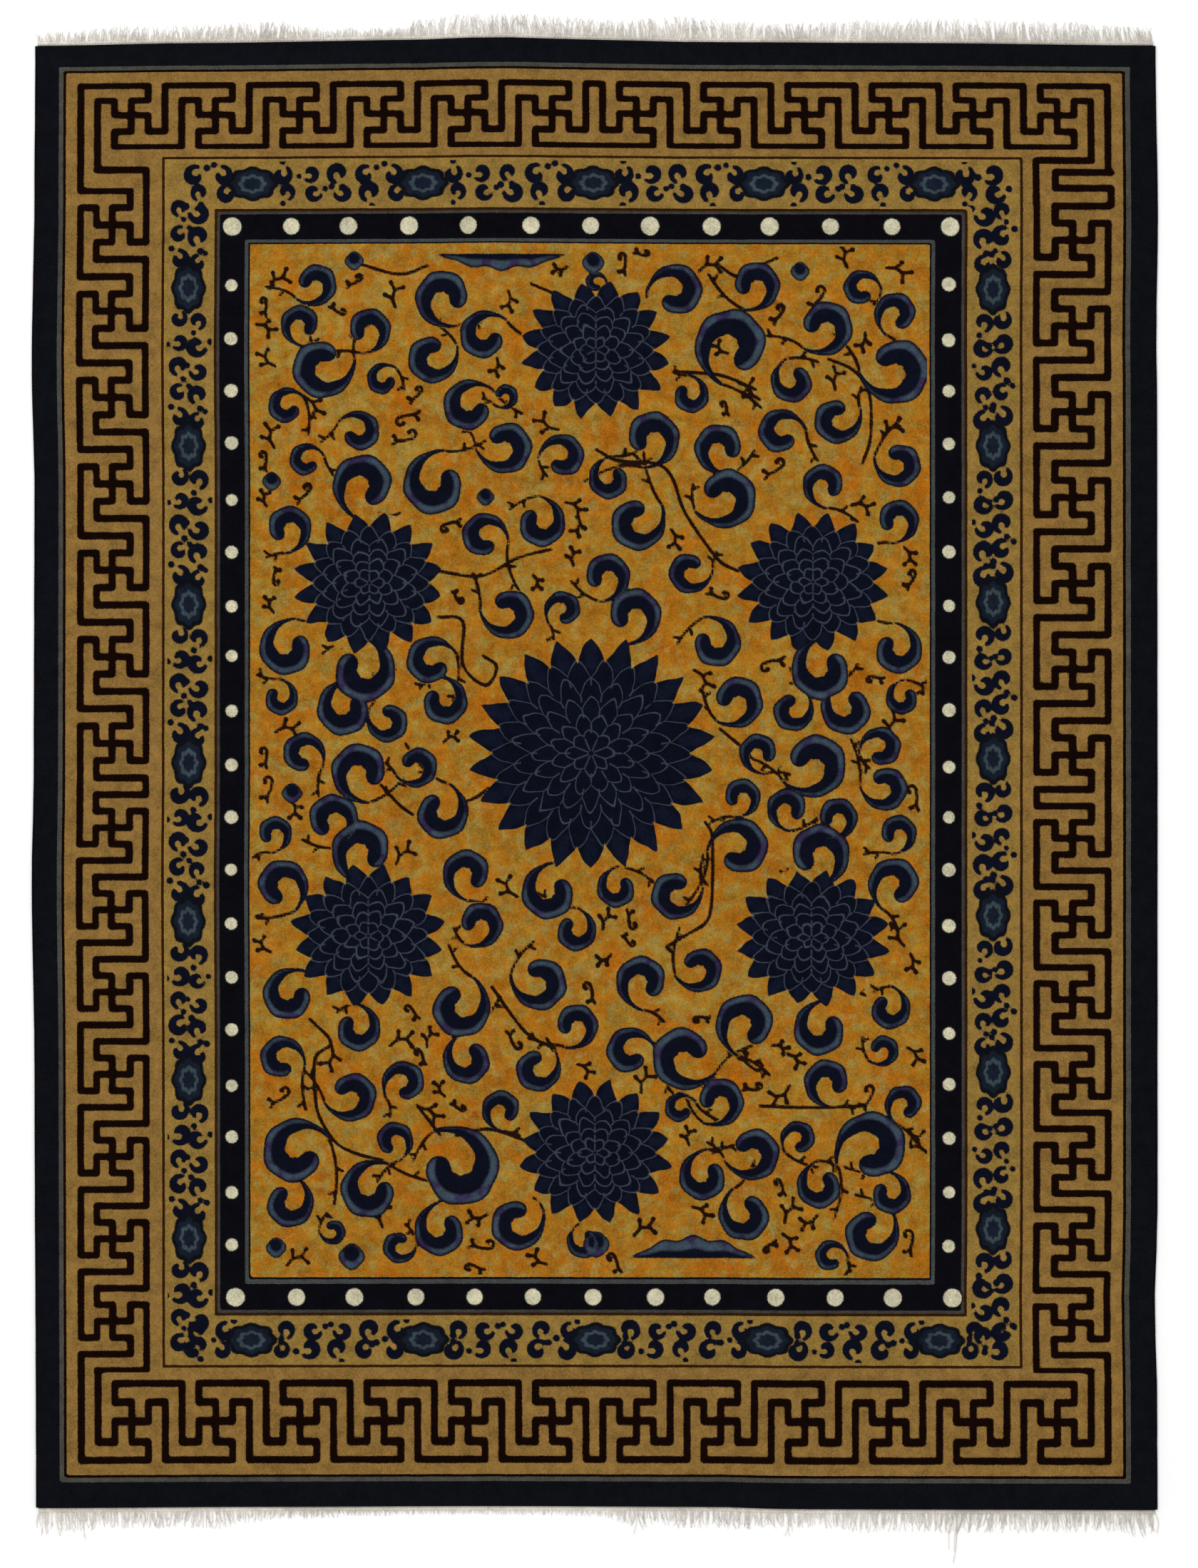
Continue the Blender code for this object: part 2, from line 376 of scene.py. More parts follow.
# columns: share of the sweep, radius of the centre line and half width, both as shares of the leaf's size
leafShape = [(0.00, 1.12, 0.05), (0.08, 0.97, 0.10), (0.18, 0.84, 0.19), (0.32, 0.73, 0.29),
             (0.50, 0.65, 0.36), (0.70, 0.60, 0.40), (0.88, 0.56, 0.37), (1.00, 0.53, 0.30)]


def hookLeaf(placeAcross, placeDown, size, opening, turn):
    # a spiral comma: its centre line winds in from a thin tail to a round head, read from the table by angle
    size = size * leafForm["growth"]
    where, dx, dy = patch(placeAcross, placeDown, size * leafForm["reach"])
    shares, radii, halves = np.array(leafShape).T
    start = math.radians(opening) - turn * leafForm["before"]
    swept = np.mod(turn * (np.arctan2(dy, dx) - start), 2 * math.pi)
    share = np.clip(swept / leafForm["sweep"], 0, 1)
    angle = start + turn * share * leafForm["sweep"]
    radius = size * np.interp(share, shares, radii)
    lobes = 1 + leafForm["lobeDepth"] * np.cos(leafForm["lobes"] * swept)
    half = np.maximum(size * np.interp(share, shares, halves) * lobes, leafForm["thinnest"])
    body = np.hypot(dx - radius * np.cos(angle), dy - radius * np.sin(angle)) - half
    for end, endHalf in ((0, leafForm["thinnest"]), (-1, size * halves[-1])):
        endAngle = start + turn * shares[end] * leafForm["sweep"]
        endX, endY = size * radii[end] * math.cos(endAngle), size * radii[end] * math.sin(endAngle)
        body = np.minimum(body, np.hypot(dx - endX, dy - endY) - endHalf)
    outward = np.hypot(dx, dy) - radius
    lay("leaf", where, body)
    lay("rim", where, np.maximum(body + leafForm["outline"], half * leafForm["rimShare"] - outward))


budForm = {"lobes": 4, "lobeDepth": 0.05, "outline": 2, "hollow": 0.62, "hollowDrop": 0.25}


def bud(placeAcross, placeDown, size):
    # a round bud whose radius waves a little; its pale rim is what a smaller round, set higher, leaves over
    where, dx, dy = patch(placeAcross, placeDown, size * leafForm["reach"])
    lobes = 1 + budForm["lobeDepth"] * np.cos(budForm["lobes"] * np.arctan2(dy, dx))
    body = np.hypot(dx, dy) - size * lobes
    hollow = size * budForm["hollow"] - np.hypot(dx, dy - size * budForm["hollowDrop"])
    lay("leaf", where, body)
    lay("rim", where, np.maximum(body + budForm["outline"], hollow))


crescentForm = {"ripple": 0.12, "rippleLength": 7, "outline": 2.4, "rimShare": 0.40, "reach": 1.1}


def crescent(placeAcross, placeDown, half, bulge):
    # a long low leaf: a straight side along the border, and a side that bulges as a rippled parabola,
    # downwards where the bulge is under 0
    where, dx, dy = patch(placeAcross, placeDown, half * crescentForm["reach"])
    inward = dy * np.sign(bulge)
    ripple = 1 + crescentForm["ripple"] * np.cos(dx / crescentForm["rippleLength"])
    swell = abs(bulge) * (1 - (np.abs(dx) / half) ** 2) * ripple
    body = np.maximum(-inward, inward - swell)
    lay("leaf", where, body)
    lay("rim", where, np.maximum(body + crescentForm["outline"], crescentForm["rimShare"] * swell - inward))


vineForm = {"half": 2.5, "curveStep": 0.2}


def vine(points):
    # a thin curved stem: a smooth cubic through every point, as a line of short straight parts
    points = np.array(points, float)
    padded = np.vstack([2 * points[0] - points[1], points, 2 * points[-1] - points[-2]])
    curve = []
    for k in range(1, len(padded) - 2):
        p0, p1, p2, p3 = padded[k - 1:k + 3]
        for t in np.arange(0, 1, vineForm["curveStep"]):
            curve.append(0.5 * (2 * p1 + (p2 - p0) * t + (2 * p0 - 5 * p1 + 4 * p2 - p3) * t ** 2
                                + (3 * p1 - p0 - 3 * p2 + p3) * t ** 3))
    curve.append(points[-1])
    layLine("twig", curve, vineForm["half"])


# shares of a sprig's size, along its stem and aside from it
sprigForm = {
    "size": 17,              # of the sprigs in the table
    "half": 2.5,
    "dab": 1.2,              # additional half width of the round ends
    "forkedStem": [(-1, -0.3), (-0.3, 0.1), (0.4, 0), (1, 0.45)],
    "forkedShoots": [[(-0.3, 0.1), (-0.1, 0.75)], [(0.4, 0), (0.75, -0.65)]],
    "curledStem": [(-1.3, 0.1), (-0.8, 0.22), (-0.2, 0.05)],
    "curledShoots": [[(-0.8, 0.22), (-0.95, 0.7)]],
    "spiralTurn": 3.9,       # how far the curled end winds, in radians
    "spiralRadius": (0.42, 0.05),                  # at its start, and what it loses for each radian
    "spiralPlace": (0.5, 0.42),
}


def twig(placeAcross, placeDown, size, turn, curled):
    # a sprig: a curved stem that forks twice, or a longer one that ends in a small spiral and has one shoot
    where, dx, dy = patch(placeAcross, placeDown, size * 2)
    angle = math.radians(turn)
    along = dx * math.cos(angle) + dy * math.sin(angle)
    aside = -dx * math.sin(angle) + dy * math.cos(angle)
    if curled:
        wind = np.linspace(0, sprigForm["spiralTurn"], 8)
        reach = sprigForm["spiralRadius"][0] - sprigForm["spiralRadius"][1] * wind
        placeAlong, placeAside = sprigForm["spiralPlace"]
        spiral = list(zip(placeAlong + reach * np.sin(wind), placeAside - reach * np.cos(wind)))
        lines = [sprigForm["curledStem"] + spiral] + sprigForm["curledShoots"]
    else:
        lines = [sprigForm["forkedStem"]] + sprigForm["forkedShoots"]
    distance = np.full(along.shape, 1e6)
    for line in lines:
        line = [(size * a, size * b) for a, b in line]
        dab = np.hypot(along - line[-1][0], aside - line[-1][1]) - sprigForm["dab"]
        distance = np.minimum(distance, np.minimum(strokeDistance(along, aside, line), dab))
    lay("twig", where, distance - sprigForm["half"])


# columns: across, down, size, opening in degrees anticlockwise from the right, turn
hookLeaves = [
    (443, 398, 28, 225, 1), (422, 454, 26, 270, -1), (518, 462, 29, 260, 1), (453, 515, 40, 10, -1),
    (537, 531, 21, 45, 1), (622, 418, 37, 290, -1), (679, 470, 32, 40, 1), (607, 502, 33, 20, -1),
    (658, 569, 34, 40, 1), (709, 556, 17, 220, 1), (402, 568, 24, 30, 1), (504, 604, 27, 150, -1),
    (709, 627, 35, 190, 1), (789, 639, 29, 180, -1), (429, 644, 22, 20, 1), (609, 678, 41, 80, 1),
    (509, 679, 40, 250, -1), (405, 740, 30, 270, 1), (679, 751, 30, 350, 1), (759, 733, 32, 90, -1),
    (836, 395, 14, 350, 1), (948, 406, 35, 180, -1), (1060, 399, 32, 250, 1), (1026, 483, 48, 250, -1),
    (1158, 458, 36, 230, 1), (1208, 402, 24, 0, 1), (1256, 438, 28, 240, -1), (1257, 518, 44, 190, 1),
    (1111, 534, 28, 110, 1), (969, 553, 24, 90, -1), (915, 614, 36, 260, 1), (1009, 628, 33, 290, -1),
    (1095, 604, 30, 10, 1), (1174, 588, 31, 20, -1), (1260, 650, 30, 170, 1), (854, 671, 27, 90, 1),
    (1155, 679, 28, 270, -1), (1018, 697, 40, 210, 1), (894, 733, 36, 30, -1), (1259, 729, 28, 260, 1),
    (851, 808, 31, 260, 1), (967, 802, 28, 0, -1), (402, 908, 36, 80, 1), (510, 940, 42, 90, -1),
    (713, 860, 34, 180, 1), (789, 854, 24, 220, -1), (604, 926, 32, 20, 1), (394, 978, 23, 90, -1),
    (483, 993, 36, 80, 1), (623, 983, 31, 100, -1), (544, 1012, 27, 150, 1), (426, 1056, 28, 330, 1),
    (505, 1082, 38, 280, -1), (585, 1075, 27, 210, 1), (620, 1139, 35, 70, -1), (467, 1149, 34, 280, 1),
    (386, 1168, 23, 270, 1), (508, 1193, 40, 270, -1), (397, 1241, 34, 300, 1), (655, 1225, 32, 265, -1),
    (770, 1251, 36, 85, 1), (674, 1296, 30, 240, 1), (808, 1305, 27, 80, -1), (889, 862, 36, 260, 1),
    (1004, 900, 33, 110, -1), (1152, 938, 40, 90, 1), (1259, 910, 32, 90, -1), (1034, 983, 34, 230, 1),
    (1112, 996, 27, 45, -1), (1187, 993, 34, 110, 1), (1265, 978, 22, 90, 1), (1064, 1055, 26, 280, -1),
    (1142, 1072, 42, 215, 1), (1235, 1047, 27, 190, -1), (1241, 1104, 30, 180, 1), (1040, 1117, 25, 260, 1),
    (1104, 1133, 27, 270, -1), (1174, 1146, 27, 250, 1), (1037, 1187, 38, 180, -1), (1149, 1197, 40, 270, 1),
    (1259, 1168, 25, 260, 1), (1254, 1238, 34, 240, -1), (865, 1245, 26, 90, 1), (948, 1254, 33, 10, -1),
    (405, 1394, 34, 60, 1), (502, 1442, 30, 90, -1), (395, 1483, 29, 350, 1), (646, 1413, 39, 60, -1),
    (757, 1378, 36, 170, 1), (808, 1438, 29, 250, 1), (655, 1486, 32, 110, 1), (754, 1499, 30, 40, -1),
    (493, 1537, 33, 200, 1), (566, 1517, 28, 215, -1), (414, 1614, 43, 30, 1), (703, 1556, 26, 265, -1),
    (553, 1599, 25, 290, 1), (644, 1636, 52, 120, -1), (518, 1668, 38, 60, 1), (406, 1687, 32, 70, -1),
    (467, 1727, 17, 180, 1), (725, 1716, 35, 20, -1), (617, 1725, 34, 95, 1), (560, 1748, 22, 10, -1),
    (818, 1741, 22, 110, 1), (900, 1376, 34, 265, -1), (981, 1359, 30, 200, 1), (1045, 1435, 39, 250, -1),
    (1150, 1442, 35, 85, 1), (1248, 1414, 27, 80, -1), (883, 1473, 31, 10, 1), (959, 1483, 42, 330, -1),
    (1238, 1472, 21, 220, 1), (1160, 1517, 31, 280, -1), (953, 1553, 20, 30, 1), (1009, 1544, 32, 240, 1),
    (1267, 1547, 25, 240, -1), (1056, 1617, 35, 200, 1), (1119, 1595, 23, 220, -1), (986, 1649, 32, 90, 1),
    (1222, 1607, 46, 200, -1), (1149, 1662, 30, 100, 1), (1249, 1673, 27, 95, -1), (1044, 1703, 34, 120, 1),
    (1222, 1729, 36, 40, -1), (1165, 1760, 21, 0, 1),
]
# columns: across, down, size
buds = [(832, 368, 15), (497, 365, 13), (381, 674, 13), (681, 697, 12), (1122, 379, 13),
        (410, 1112, 14), (387, 1749, 14), (493, 1762, 18), (836, 1745, 18)]
# columns: across, down, half length, bulge
crescents = [(704, 356, 92, -22), (972, 1764, 90, 30)]
# each vine's points: across, down
vines = [
    [(945, 520), (1010, 525), (1060, 545)],
    [(1162, 502), (1197, 518), (1219, 550), (1221, 611), (1209, 649)],
    [(836, 630), (868, 646), (919, 649), (942, 668), (958, 713), (980, 748), (1009, 786), (1035, 800)],
    [(614, 865), (649, 871), (649, 932), (681, 961), (697, 935), (678, 920)],
    [(611, 800), (674, 808), (725, 783), (773, 770)],
    [(989, 1152), (999, 1174), (999, 1245), (993, 1289), (967, 1308), (935, 1327)],
    [(1009, 1021), (1037, 1044)],
    [(690, 1384), (732, 1442), (757, 1461)],
    [(435, 1429), (464, 1461), (442, 1483), (442, 1534), (448, 1566), (470, 1601), (499, 1617), (537, 1627)],
    [(585, 1550), (617, 1591)],
    [(1066, 1550), (1130, 1552), (1213, 1550)],
    [(534, 1100), (560, 1128), (579, 1142)],
    [(648, 1126), (668, 1118), (687, 1104)],
    [(640, 1592), (684, 1583), (722, 1594), (745, 1604)],
    [(500, 368), (560, 384), (600, 372)],
    [(745, 398), (784, 416), (800, 440)],
    [(1010, 372), (1034, 386), (1062, 372), (1090, 360)],
]
# columns: across, down, turn in degrees
twigs = [
    (391, 391, 30), (568, 582, 200), (553, 413, 80), (767, 595, 140), (572, 617, 20), (440, 568, 300),
    (996, 371, 10), (1152, 416, 60), (1260, 378, 330), (1053, 547, 120), (1091, 658, 40), (380, 610, 90),
    (403, 1021, 0), (381, 1104, 80), (566, 1197, 40), (713, 1245, 120), (1079, 926, 200), (986, 951, 300),
    (1251, 1015, 60), (1286, 1114, 100), (563, 1458, 10), (464, 1483, 250), (397, 1540, 40), (604, 1560, 320),
    (534, 1703, 80), (678, 1751, 0), (416, 1764, 20), (903, 1515, 60), (1053, 1496, 330), (1095, 1534, 210),
    (1107, 1697, 50), (1280, 1738, 90), (1289, 1601, 110), (903, 1722, 20), (1222, 1537, 70), (1260, 1310, 100),
    (1250, 600, 30),
]
for leaf in hookLeaves:
    hookLeaf(*leaf)
for row in buds:
    bud(*row)
for row in crescents:
    crescent(*row)
for points in vines:
    vine(points)
for k, (placeAcross, placeDown, turn) in enumerate(twigs):
    twig(placeAcross, placeDown, sprigForm["size"], turn, k % 3 == 1)

# Medallions: the material draws their petals from each one's own coordinates, where the span isn't 0
# columns: across, down, half width, half height
medallions = [(836, 490, 105, 98), (518, 817, 105, 99), (1140, 815, 107, 99), (829, 1056, 172, 165),
              (517, 1312, 106, 100), (1138, 1314, 108, 98), (834, 1616, 107, 100)]
for placeAcross, placeDown, spanAcross, spanDown in medallions:
    dx, dy = (across - placeAcross) / spanAcross, (placeDown - down) / spanDown
    reach = np.hypot(dx, dy)
    nearer = reach < bloomReach
    bloomX[nearer], bloomY[nearer] = dx[nearer], dy[nearer]
    bloomSpan[nearer], bloomReach[nearer] = spanAcross, reach[nearer]
outsideBloom = (bloomReach - 1) * bloomSpan
bloomSpan[bloomReach > 1.25] = 0.0       # no petals past a quarter more than a medallion's size

fieldBox = [bandPlace(side, "field") for side in ("left", "right", "top", "bottom")]
stemForm = {
    "lengths": (1.5, 0.9, 2.1, 1.3),         # taken in turn, as shares of the leaf's size
    "bends": (0.55, -0.35, 0.30),            # taken in turn, outwards where over 0
    "half": 2.3,
    "points": 7,
    "shoots": ((3, 1), (5, -1)),             # point of the stem and side of each shoot
    "shootLength": 9.0,
    "shootLean": 0.5,
    "margin": 9.0,                           # least distance from the field's edge
    "reach": (1.3, 1.2),                     # the stem lies within these shares of the size and of its length
}


def leafStem(placeAcross, placeDown, size, opening, turn, length, bend):
    # a tendril out of a leaf's tail: straight back along the tail plus a parabola across it, kept inside
    # the field, with a shoot on each side, and hidden under leaves and medallions
    start = math.radians(opening) - turn * leafForm["before"]
    outward = np.array([math.cos(start), math.sin(start)])
    back = turn * np.array([math.sin(start), -math.cos(start)])
    tail = outward * size * leafForm["growth"] * leafShape[0][1]
    share = np.linspace(0, 1, stemForm["points"])[:, None]
    stem = tail + size * length * (share * back + bend * share ** 2 * outward)
    low = np.array([fieldBox[0] - placeAcross, placeDown - fieldBox[3]]) + stemForm["margin"]
    high = np.array([fieldBox[1] - placeAcross, placeDown - fieldBox[2]]) - stemForm["margin"]
    stem = np.clip(stem, low, high)
    sizeReach, lengthReach = stemForm["reach"]
    where, dx, dy = patch(placeAcross, placeDown, size * sizeReach + size * length * lengthReach)
    distance = strokeDistance(dx, dy, stem)
    for foot, side in stemForm["shoots"]:
        ahead = (stem[foot + 1] - stem[foot]) / max(np.hypot(*(stem[foot + 1] - stem[foot])), 1)
        aside = side * np.array([-ahead[1], ahead[0]])
        shoot = [stem[foot], stem[foot] + stemForm["shootLength"] * (stemForm["shootLean"] * ahead + aside)]
        distance = np.minimum(distance, strokeDistance(dx, dy, shoot))
    covered = -np.minimum(channel["leaf"][where], outsideBloom[where])
    lay("twig", where, np.maximum(distance - stemForm["half"], covered))


for k, leaf in enumerate(hookLeaves):
    leafStem(*leaf, stemForm["lengths"][k % 4], stemForm["bends"][k % 3])

# short sprigs wherever enough ground is free
looseSprigs = {"seed": 12, "tries": 2600, "clear": 17.5, "size": (10.0, 15.0), "margin": 16}
drawSprigs = np.random.default_rng(looseSprigs["seed"])
for k in range(looseSprigs["tries"]):
    placeAcross = drawSprigs.uniform(fieldBox[0] + looseSprigs["margin"], fieldBox[1] - looseSprigs["margin"])
    placeDown = drawSprigs.uniform(fieldBox[2] + looseSprigs["margin"], fieldBox[3] - looseSprigs["margin"])
    i, j = np.searchsorted(acrossLine, placeAcross), np.searchsorted(downLine, placeDown)
    taken = min(channel["leaf"][j, i], channel["twig"][j, i], outsideBloom[j, i])
    if taken > looseSprigs["clear"]:
        size, turn = drawSprigs.uniform(*looseSprigs["size"]), drawSprigs.uniform(0, 360)
        twig(placeAcross, placeDown, size, turn, k % 2)
print("field charted")

# Flower band and pearls

flowerBand = {
    "seed": 31,
    "flowerHalf": (33, 22),  # half length along the band and half width across it
    "petals": (8, 0.13, 1.5),            # petal points, their height as a share, and how pointed they are
    "flowerReach": 46,
    "groups": 5,             # leaf groups between two flowers
    "clear": 42,             # no leaf group nearer than this to a flower's middle
    "leafSize": 13.6,
    "leafSwing": 13,         # how far leaves stand off the band's middle
    "leafLag": 6,            # how far the inner leaf of a group lies behind the outer one
    "outerOpening": (90, 100),           # of the first outer leaf, and the step to the next, in degrees
    "innerOpening": (250, 130),
    "cornerClear": {"top": 192, "bottom": 192, "left": 226, "right": 226},
}
# shares of a border leaf's size, where nothing else is said
commaForm = {
    "sizes": (0.88, 1.12),   # least and most, as shares of the usual size
    "gap": 0.7,              # angle left open at each end, in radians
    "radius": (0.80, 0.38),  # of its middle line at the start, and what it loses on the way
    "half": (0.22, 0.25),    # half width at its ends, and what it gains between them
    "swellPower": 1.3,       # over 1 moves the widest part towards the tail
    "budPlace": 1.3,
    "budRadius": 0.34,
    "reach": 1.9,
}
pearl = {
    "wideRadius": 12.0,      # on the short sides
    "narrowRadius": 9.0,     # on the long sides
    "sizes": (0.92, 1.08),
    "stray": 3,              # how far a pearl may lie off its place along the band
    "acrossCount": 13,
    "downCount": 21,
    "reach": 26,
}
# columns: side, first flower, last flower, number
flowerRows = [("top", 354, 1310, 5), ("bottom", 352, 1318, 5), ("left", 402, 1736, 7), ("right", 404, 1722, 7)]
# columns: side, first pearl, last pearl, name of the number of pearls
pearlRows = [("top", 323, 1332, "acrossCount"), ("bottom", 329, 1338, "acrossCount"),
             ("left", 323, 1820, "downCount"), ("right", 323, 1820, "downCount")]
drawBand = np.random.default_rng(flowerBand["seed"])


def onBand(side, name, along, off):
    # a chart place along a band, moved inwards by off
    base = bandPlace(side, name)
    if side in ("top", "bottom"):
        return along, base + (off if side == "top" else -off)
    return base + (off if side == "left" else -off), along


def borderFlower(side, along):
    # an oval whose edge rises to small petal points, by a power of a cosine of the angle
    x, y = onBand(side, "flowerBand", along, 0)
    where, dx, dy = patch(x, y, flowerBand["flowerReach"])
    longHalf, shortHalf = flowerBand["flowerHalf"]
    if side in ("left", "right"):
        dx, dy = dy, dx
    angle = np.arctan2(dy / shortHalf, dx / longHalf)
    petals, height, power = flowerBand["petals"]
    edge = 1 + height * np.abs(np.cos(petals / 2 * angle)) ** power
    lay("flower", where, (np.hypot(dx / longHalf, dy / shortHalf) - edge) * shortHalf)


def borderLeaf(side, along, off, opening, turn):
    # a small thick comma with a bud beside it: its middle line winds inwards as a spiral,
    # and its half width swells by a sine
    x, y = onBand(side, "flowerBand", along, off)
    size = flowerBand["leafSize"] * drawBand.uniform(*commaForm["sizes"])
    where, dx, dy = patch(x, y, size * commaForm["reach"])
    start, gap = math.radians(opening), commaForm["gap"]
    swept = np.mod(turn * (np.arctan2(dy, dx) - start), 2 * math.pi)
    share = np.clip((swept - gap) / (2 * math.pi - 2 * gap), 0, 1)
    radius = size * (commaForm["radius"][0] - commaForm["radius"][1] * share)
    angle = start + turn * (gap + share * (2 * math.pi - 2 * gap))
    swell = np.sin(math.pi * share ** commaForm["swellPower"])
    half = size * (commaForm["half"][0] + commaForm["half"][1] * swell)
    comma = np.hypot(dx - radius * np.cos(angle), dy - radius * np.sin(angle)) - half
    budAway = commaForm["budPlace"] * size
    fromBud = np.hypot(dx - budAway * math.cos(start), dy - budAway * math.sin(start))
    lay("leaf", where, np.minimum(comma, fromBud - size * commaForm["budRadius"]))


groups, clear, swing = flowerBand["groups"], flowerBand["clear"], flowerBand["leafSwing"]
(outerFirst, outerStep), (innerFirst, innerStep) = flowerBand["outerOpening"], flowerBand["innerOpening"]
for side, first, last, count in flowerRows:
    places = np.linspace(first, last, count)
    spacing = places[1] - places[0]
    for place in places:
        borderFlower(side, place)
    corner = flowerBand["cornerClear"][side]
    if side in ("top", "bottom"):
        low, high = chart["left"] + corner, chart["right"] - corner
    else:
        low, high = chart["top"] + corner, chart["bottom"] - corner
    for place in np.append(places[0] - spacing, places):
        for k, along in enumerate(np.linspace(place + clear, place + spacing - clear, groups)):
            if low < along < high:
                turn = 1 if k % 2 else -1
                borderLeaf(side, along, -swing, outerFirst + outerStep * k, turn)
                borderLeaf(side, along + flowerBand["leafLag"], swing, innerFirst + innerStep * k, -turn)

for side, first, last, countName in pearlRows:
    radius = pearl["wideRadius"] if countName == "acrossCount" else pearl["narrowRadius"]
    places = np.linspace(first, last, pearl[countName])
    for place in places if countName == "acrossCount" else places[1:-1]:
        x, y = onBand(side, "pearls", place + drawBand.uniform(-pearl["stray"], pearl["stray"]), 0)
        where, dx, dy = patch(x, y, pearl["reach"])
        lay("pearl", where, np.hypot(dx, dy) - radius * drawBand.uniform(*pearl["sizes"]))

# The field's motifs stay inside the field, the band's inside the band
inField = depth > sharedDepth["field"] + 1
inBand = (depth > sharedDepth["guardLine"] + 5) & (depth < sharedDepth["brownLine"] - 2)
for name in ("leaf", "rim", "twig", "flower"):
    channel[name] = np.where(inBand if name == "flower" else inField | inBand, channel[name], far)
print("borders charted")

# Pile surface

pointX, pointY = chartToFloor(across, down)
ring = np.minimum(np.minimum(np.arange(columns), np.arange(columns)[::-1])[None, :],
                  np.minimum(np.arange(rows), np.arange(rows)[::-1])[:, None])
heights = np.array(pileShape["ringHeight"])
pointZ = np.where(ring < len(heights), heights[np.minimum(ring, len(heights) - 1)], pileShape["crown"])
drawPile = np.random.default_rng(pileShape["seed"])
clipping = drawPile.uniform(-1, 1, (rows, columns)) * pileShape["clipping"]
slow = sum(softNoise(cell, seed) * share for cell, seed, share in pileShape["wearCells"])
darkest = np.minimum(channel["line"], channel["twig"])
carved = np.clip(0.5 - darkest / pileShape["carveFade"], 0, 1) * pileShape["carve"]
grooveHalf, grooveShare = pileShape["leafGroove"]
leafGroove = np.exp(-(channel["leaf"] / grooveHalf) ** 2) * pileShape["carve"] * grooveShare
relief = clipping + slow * pileShape["wear"] - pileShape["wear"] - carved - leafGroove
# the first two rings are the walls, the next ones a rounded shoulder with half the carving
pointZ = pointZ + np.where(ring >= len(heights), relief, np.where(ring >= 2, clipping - carved * 0.5, 0))


pileData = {
    "dyeLines": [np.clip(channel[name], -far, far) for name in ("line", "twig", "leaf")],
    "dyeSpots": [np.clip(channel[name], -far, far) for name in ("rim", "pearl", "flower")],
    "dyeBloom": (bloomX, bloomY, bloomSpan),
    "dyeDepth": (depth, across, down),
}


def makeMesh(name, points, faces, smooth=True):
    # a new piece from its points and faces, shaded smooth or flat all over
    mesh = bpy.data.meshes.new(name)
    mesh.from_pydata(points, [], faces)
    mesh.validate()
    mesh.polygons.foreach_set("use_smooth", np.full(len(mesh.polygons), smooth))
    mesh.update()
    piece = bpy.data.objects.new(name, mesh)
    bpy.context.scene.collection.objects.link(piece)
    return piece


def makeSlab(name, rowPick, columnPick, zTop, zFlat, lookUp=True):
    # a closed slab: the picked knots as a grid, flat walls on the four sides, one flat face behind
    x, y = pointX[np.ix_(rowPick, columnPick)], pointY[np.ix_(rowPick, columnPick)]
    tall, wide = x.shape
    grid = np.stack([x, y, zTop], axis=-1).reshape(-1, 3)
    index = np.arange(tall * wide).reshape(tall, wide)
    rim = np.concatenate([index[0], index[1:, -1], index[-1, -2::-1], index[-2:0:-1, 0]])
    foot = grid[rim].copy()
    foot[:, 2] = zFlat
    footIndex = tall * wide + np.arange(len(rim))
    quads = np.stack([index[:-1, :-1], index[1:, :-1], index[1:, 1:], index[:-1, 1:]], axis=-1).reshape(-1, 4)
    walls = np.stack([rim, np.roll(rim, -1), np.roll(footIndex, -1), footIndex], axis=-1)
    back = [int(i) for i in footIndex]
    if not lookUp:
        quads, walls, back = quads[:, ::-1], walls[:, ::-1], back[::-1]
    faces = quads.tolist() + walls.tolist() + [back]
    piece = makeMesh(name, np.vstack([grid, foot]).tolist(), faces)
    mesh = piece.data
    for label, parts in pileData.items():
        picked = np.stack([part[np.ix_(rowPick, columnPick)] for part in parts], axis=-1).reshape(-1, 3)
        picked = np.vstack([picked, picked[rim]])
        layer = mesh.attributes.new(label, "FLOAT_VECTOR", "POINT")
        layer.data.foreach_set("vector", picked.astype(np.float32).ravel())
    sharpen(mesh, len(quads), rim)
    foldUv(mesh, np.concatenate([grid[:, 0], foot[:, 0]]), np.concatenate([grid[:, 1], foot[:, 1]]))
    return piece


def sharpen(mesh, smoothFaces, rim):
    # the face stays smooth right up to its rim, which is sharp, and the walls are flat
    smooth = np.zeros(len(mesh.polygons), bool)
    smooth[:smoothFaces] = True
    mesh.polygons.foreach_set("use_smooth", smooth)
    onRim = np.zeros(len(mesh.vertices), bool)
    onRim[rim] = True
    ends = np.empty(len(mesh.edges) * 2, np.int32)
    mesh.edges.foreach_get("vertices", ends)
    mesh.edges.foreach_set("use_edge_sharp", onRim[ends.reshape(-1, 2)].all(axis=1))


def foldUv(mesh, x, y):
    # the flat layout for baking: left half below, right half above, so that a square picture suits the strip
    loops = np.empty(len(mesh.loops), np.int32)
    mesh.loops.foreach_get("vertex_index", loops)
    starts = np.empty(len(mesh.polygons), np.int32)
    totals = np.empty(len(mesh.polygons), np.int32)
    mesh.polygons.foreach_get("loop_start", starts)
    mesh.polygons.foreach_get("loop_total", totals)
    faceOfLoop = np.repeat(np.arange(len(totals)), totals)
    lowX, highX, lowY, highY = x.min(), x.max(), y.min(), y.max()
    share, rise = (x - lowX) / (highX - lowX), (y - lowY) / (highY - lowY)
    middle = np.add.reduceat(share[loops], starts) / totals
    half = (middle > 0.5)[faceOfLoop]
    u = np.where(half, share[loops] - 0.5, share[loops]) * 2
    v = rise[loops] * 0.5 + np.where(half, 0.5, 0.0)
    margin = 0.004
    layer = mesh.uv_layers.new(name="OFBake")
    uv = np.stack([margin + u * (1 - 2 * margin), margin + v * (1 - 2 * margin)], axis=-1)
    layer.data.foreach_set("uv", uv.astype(np.float32).ravel())


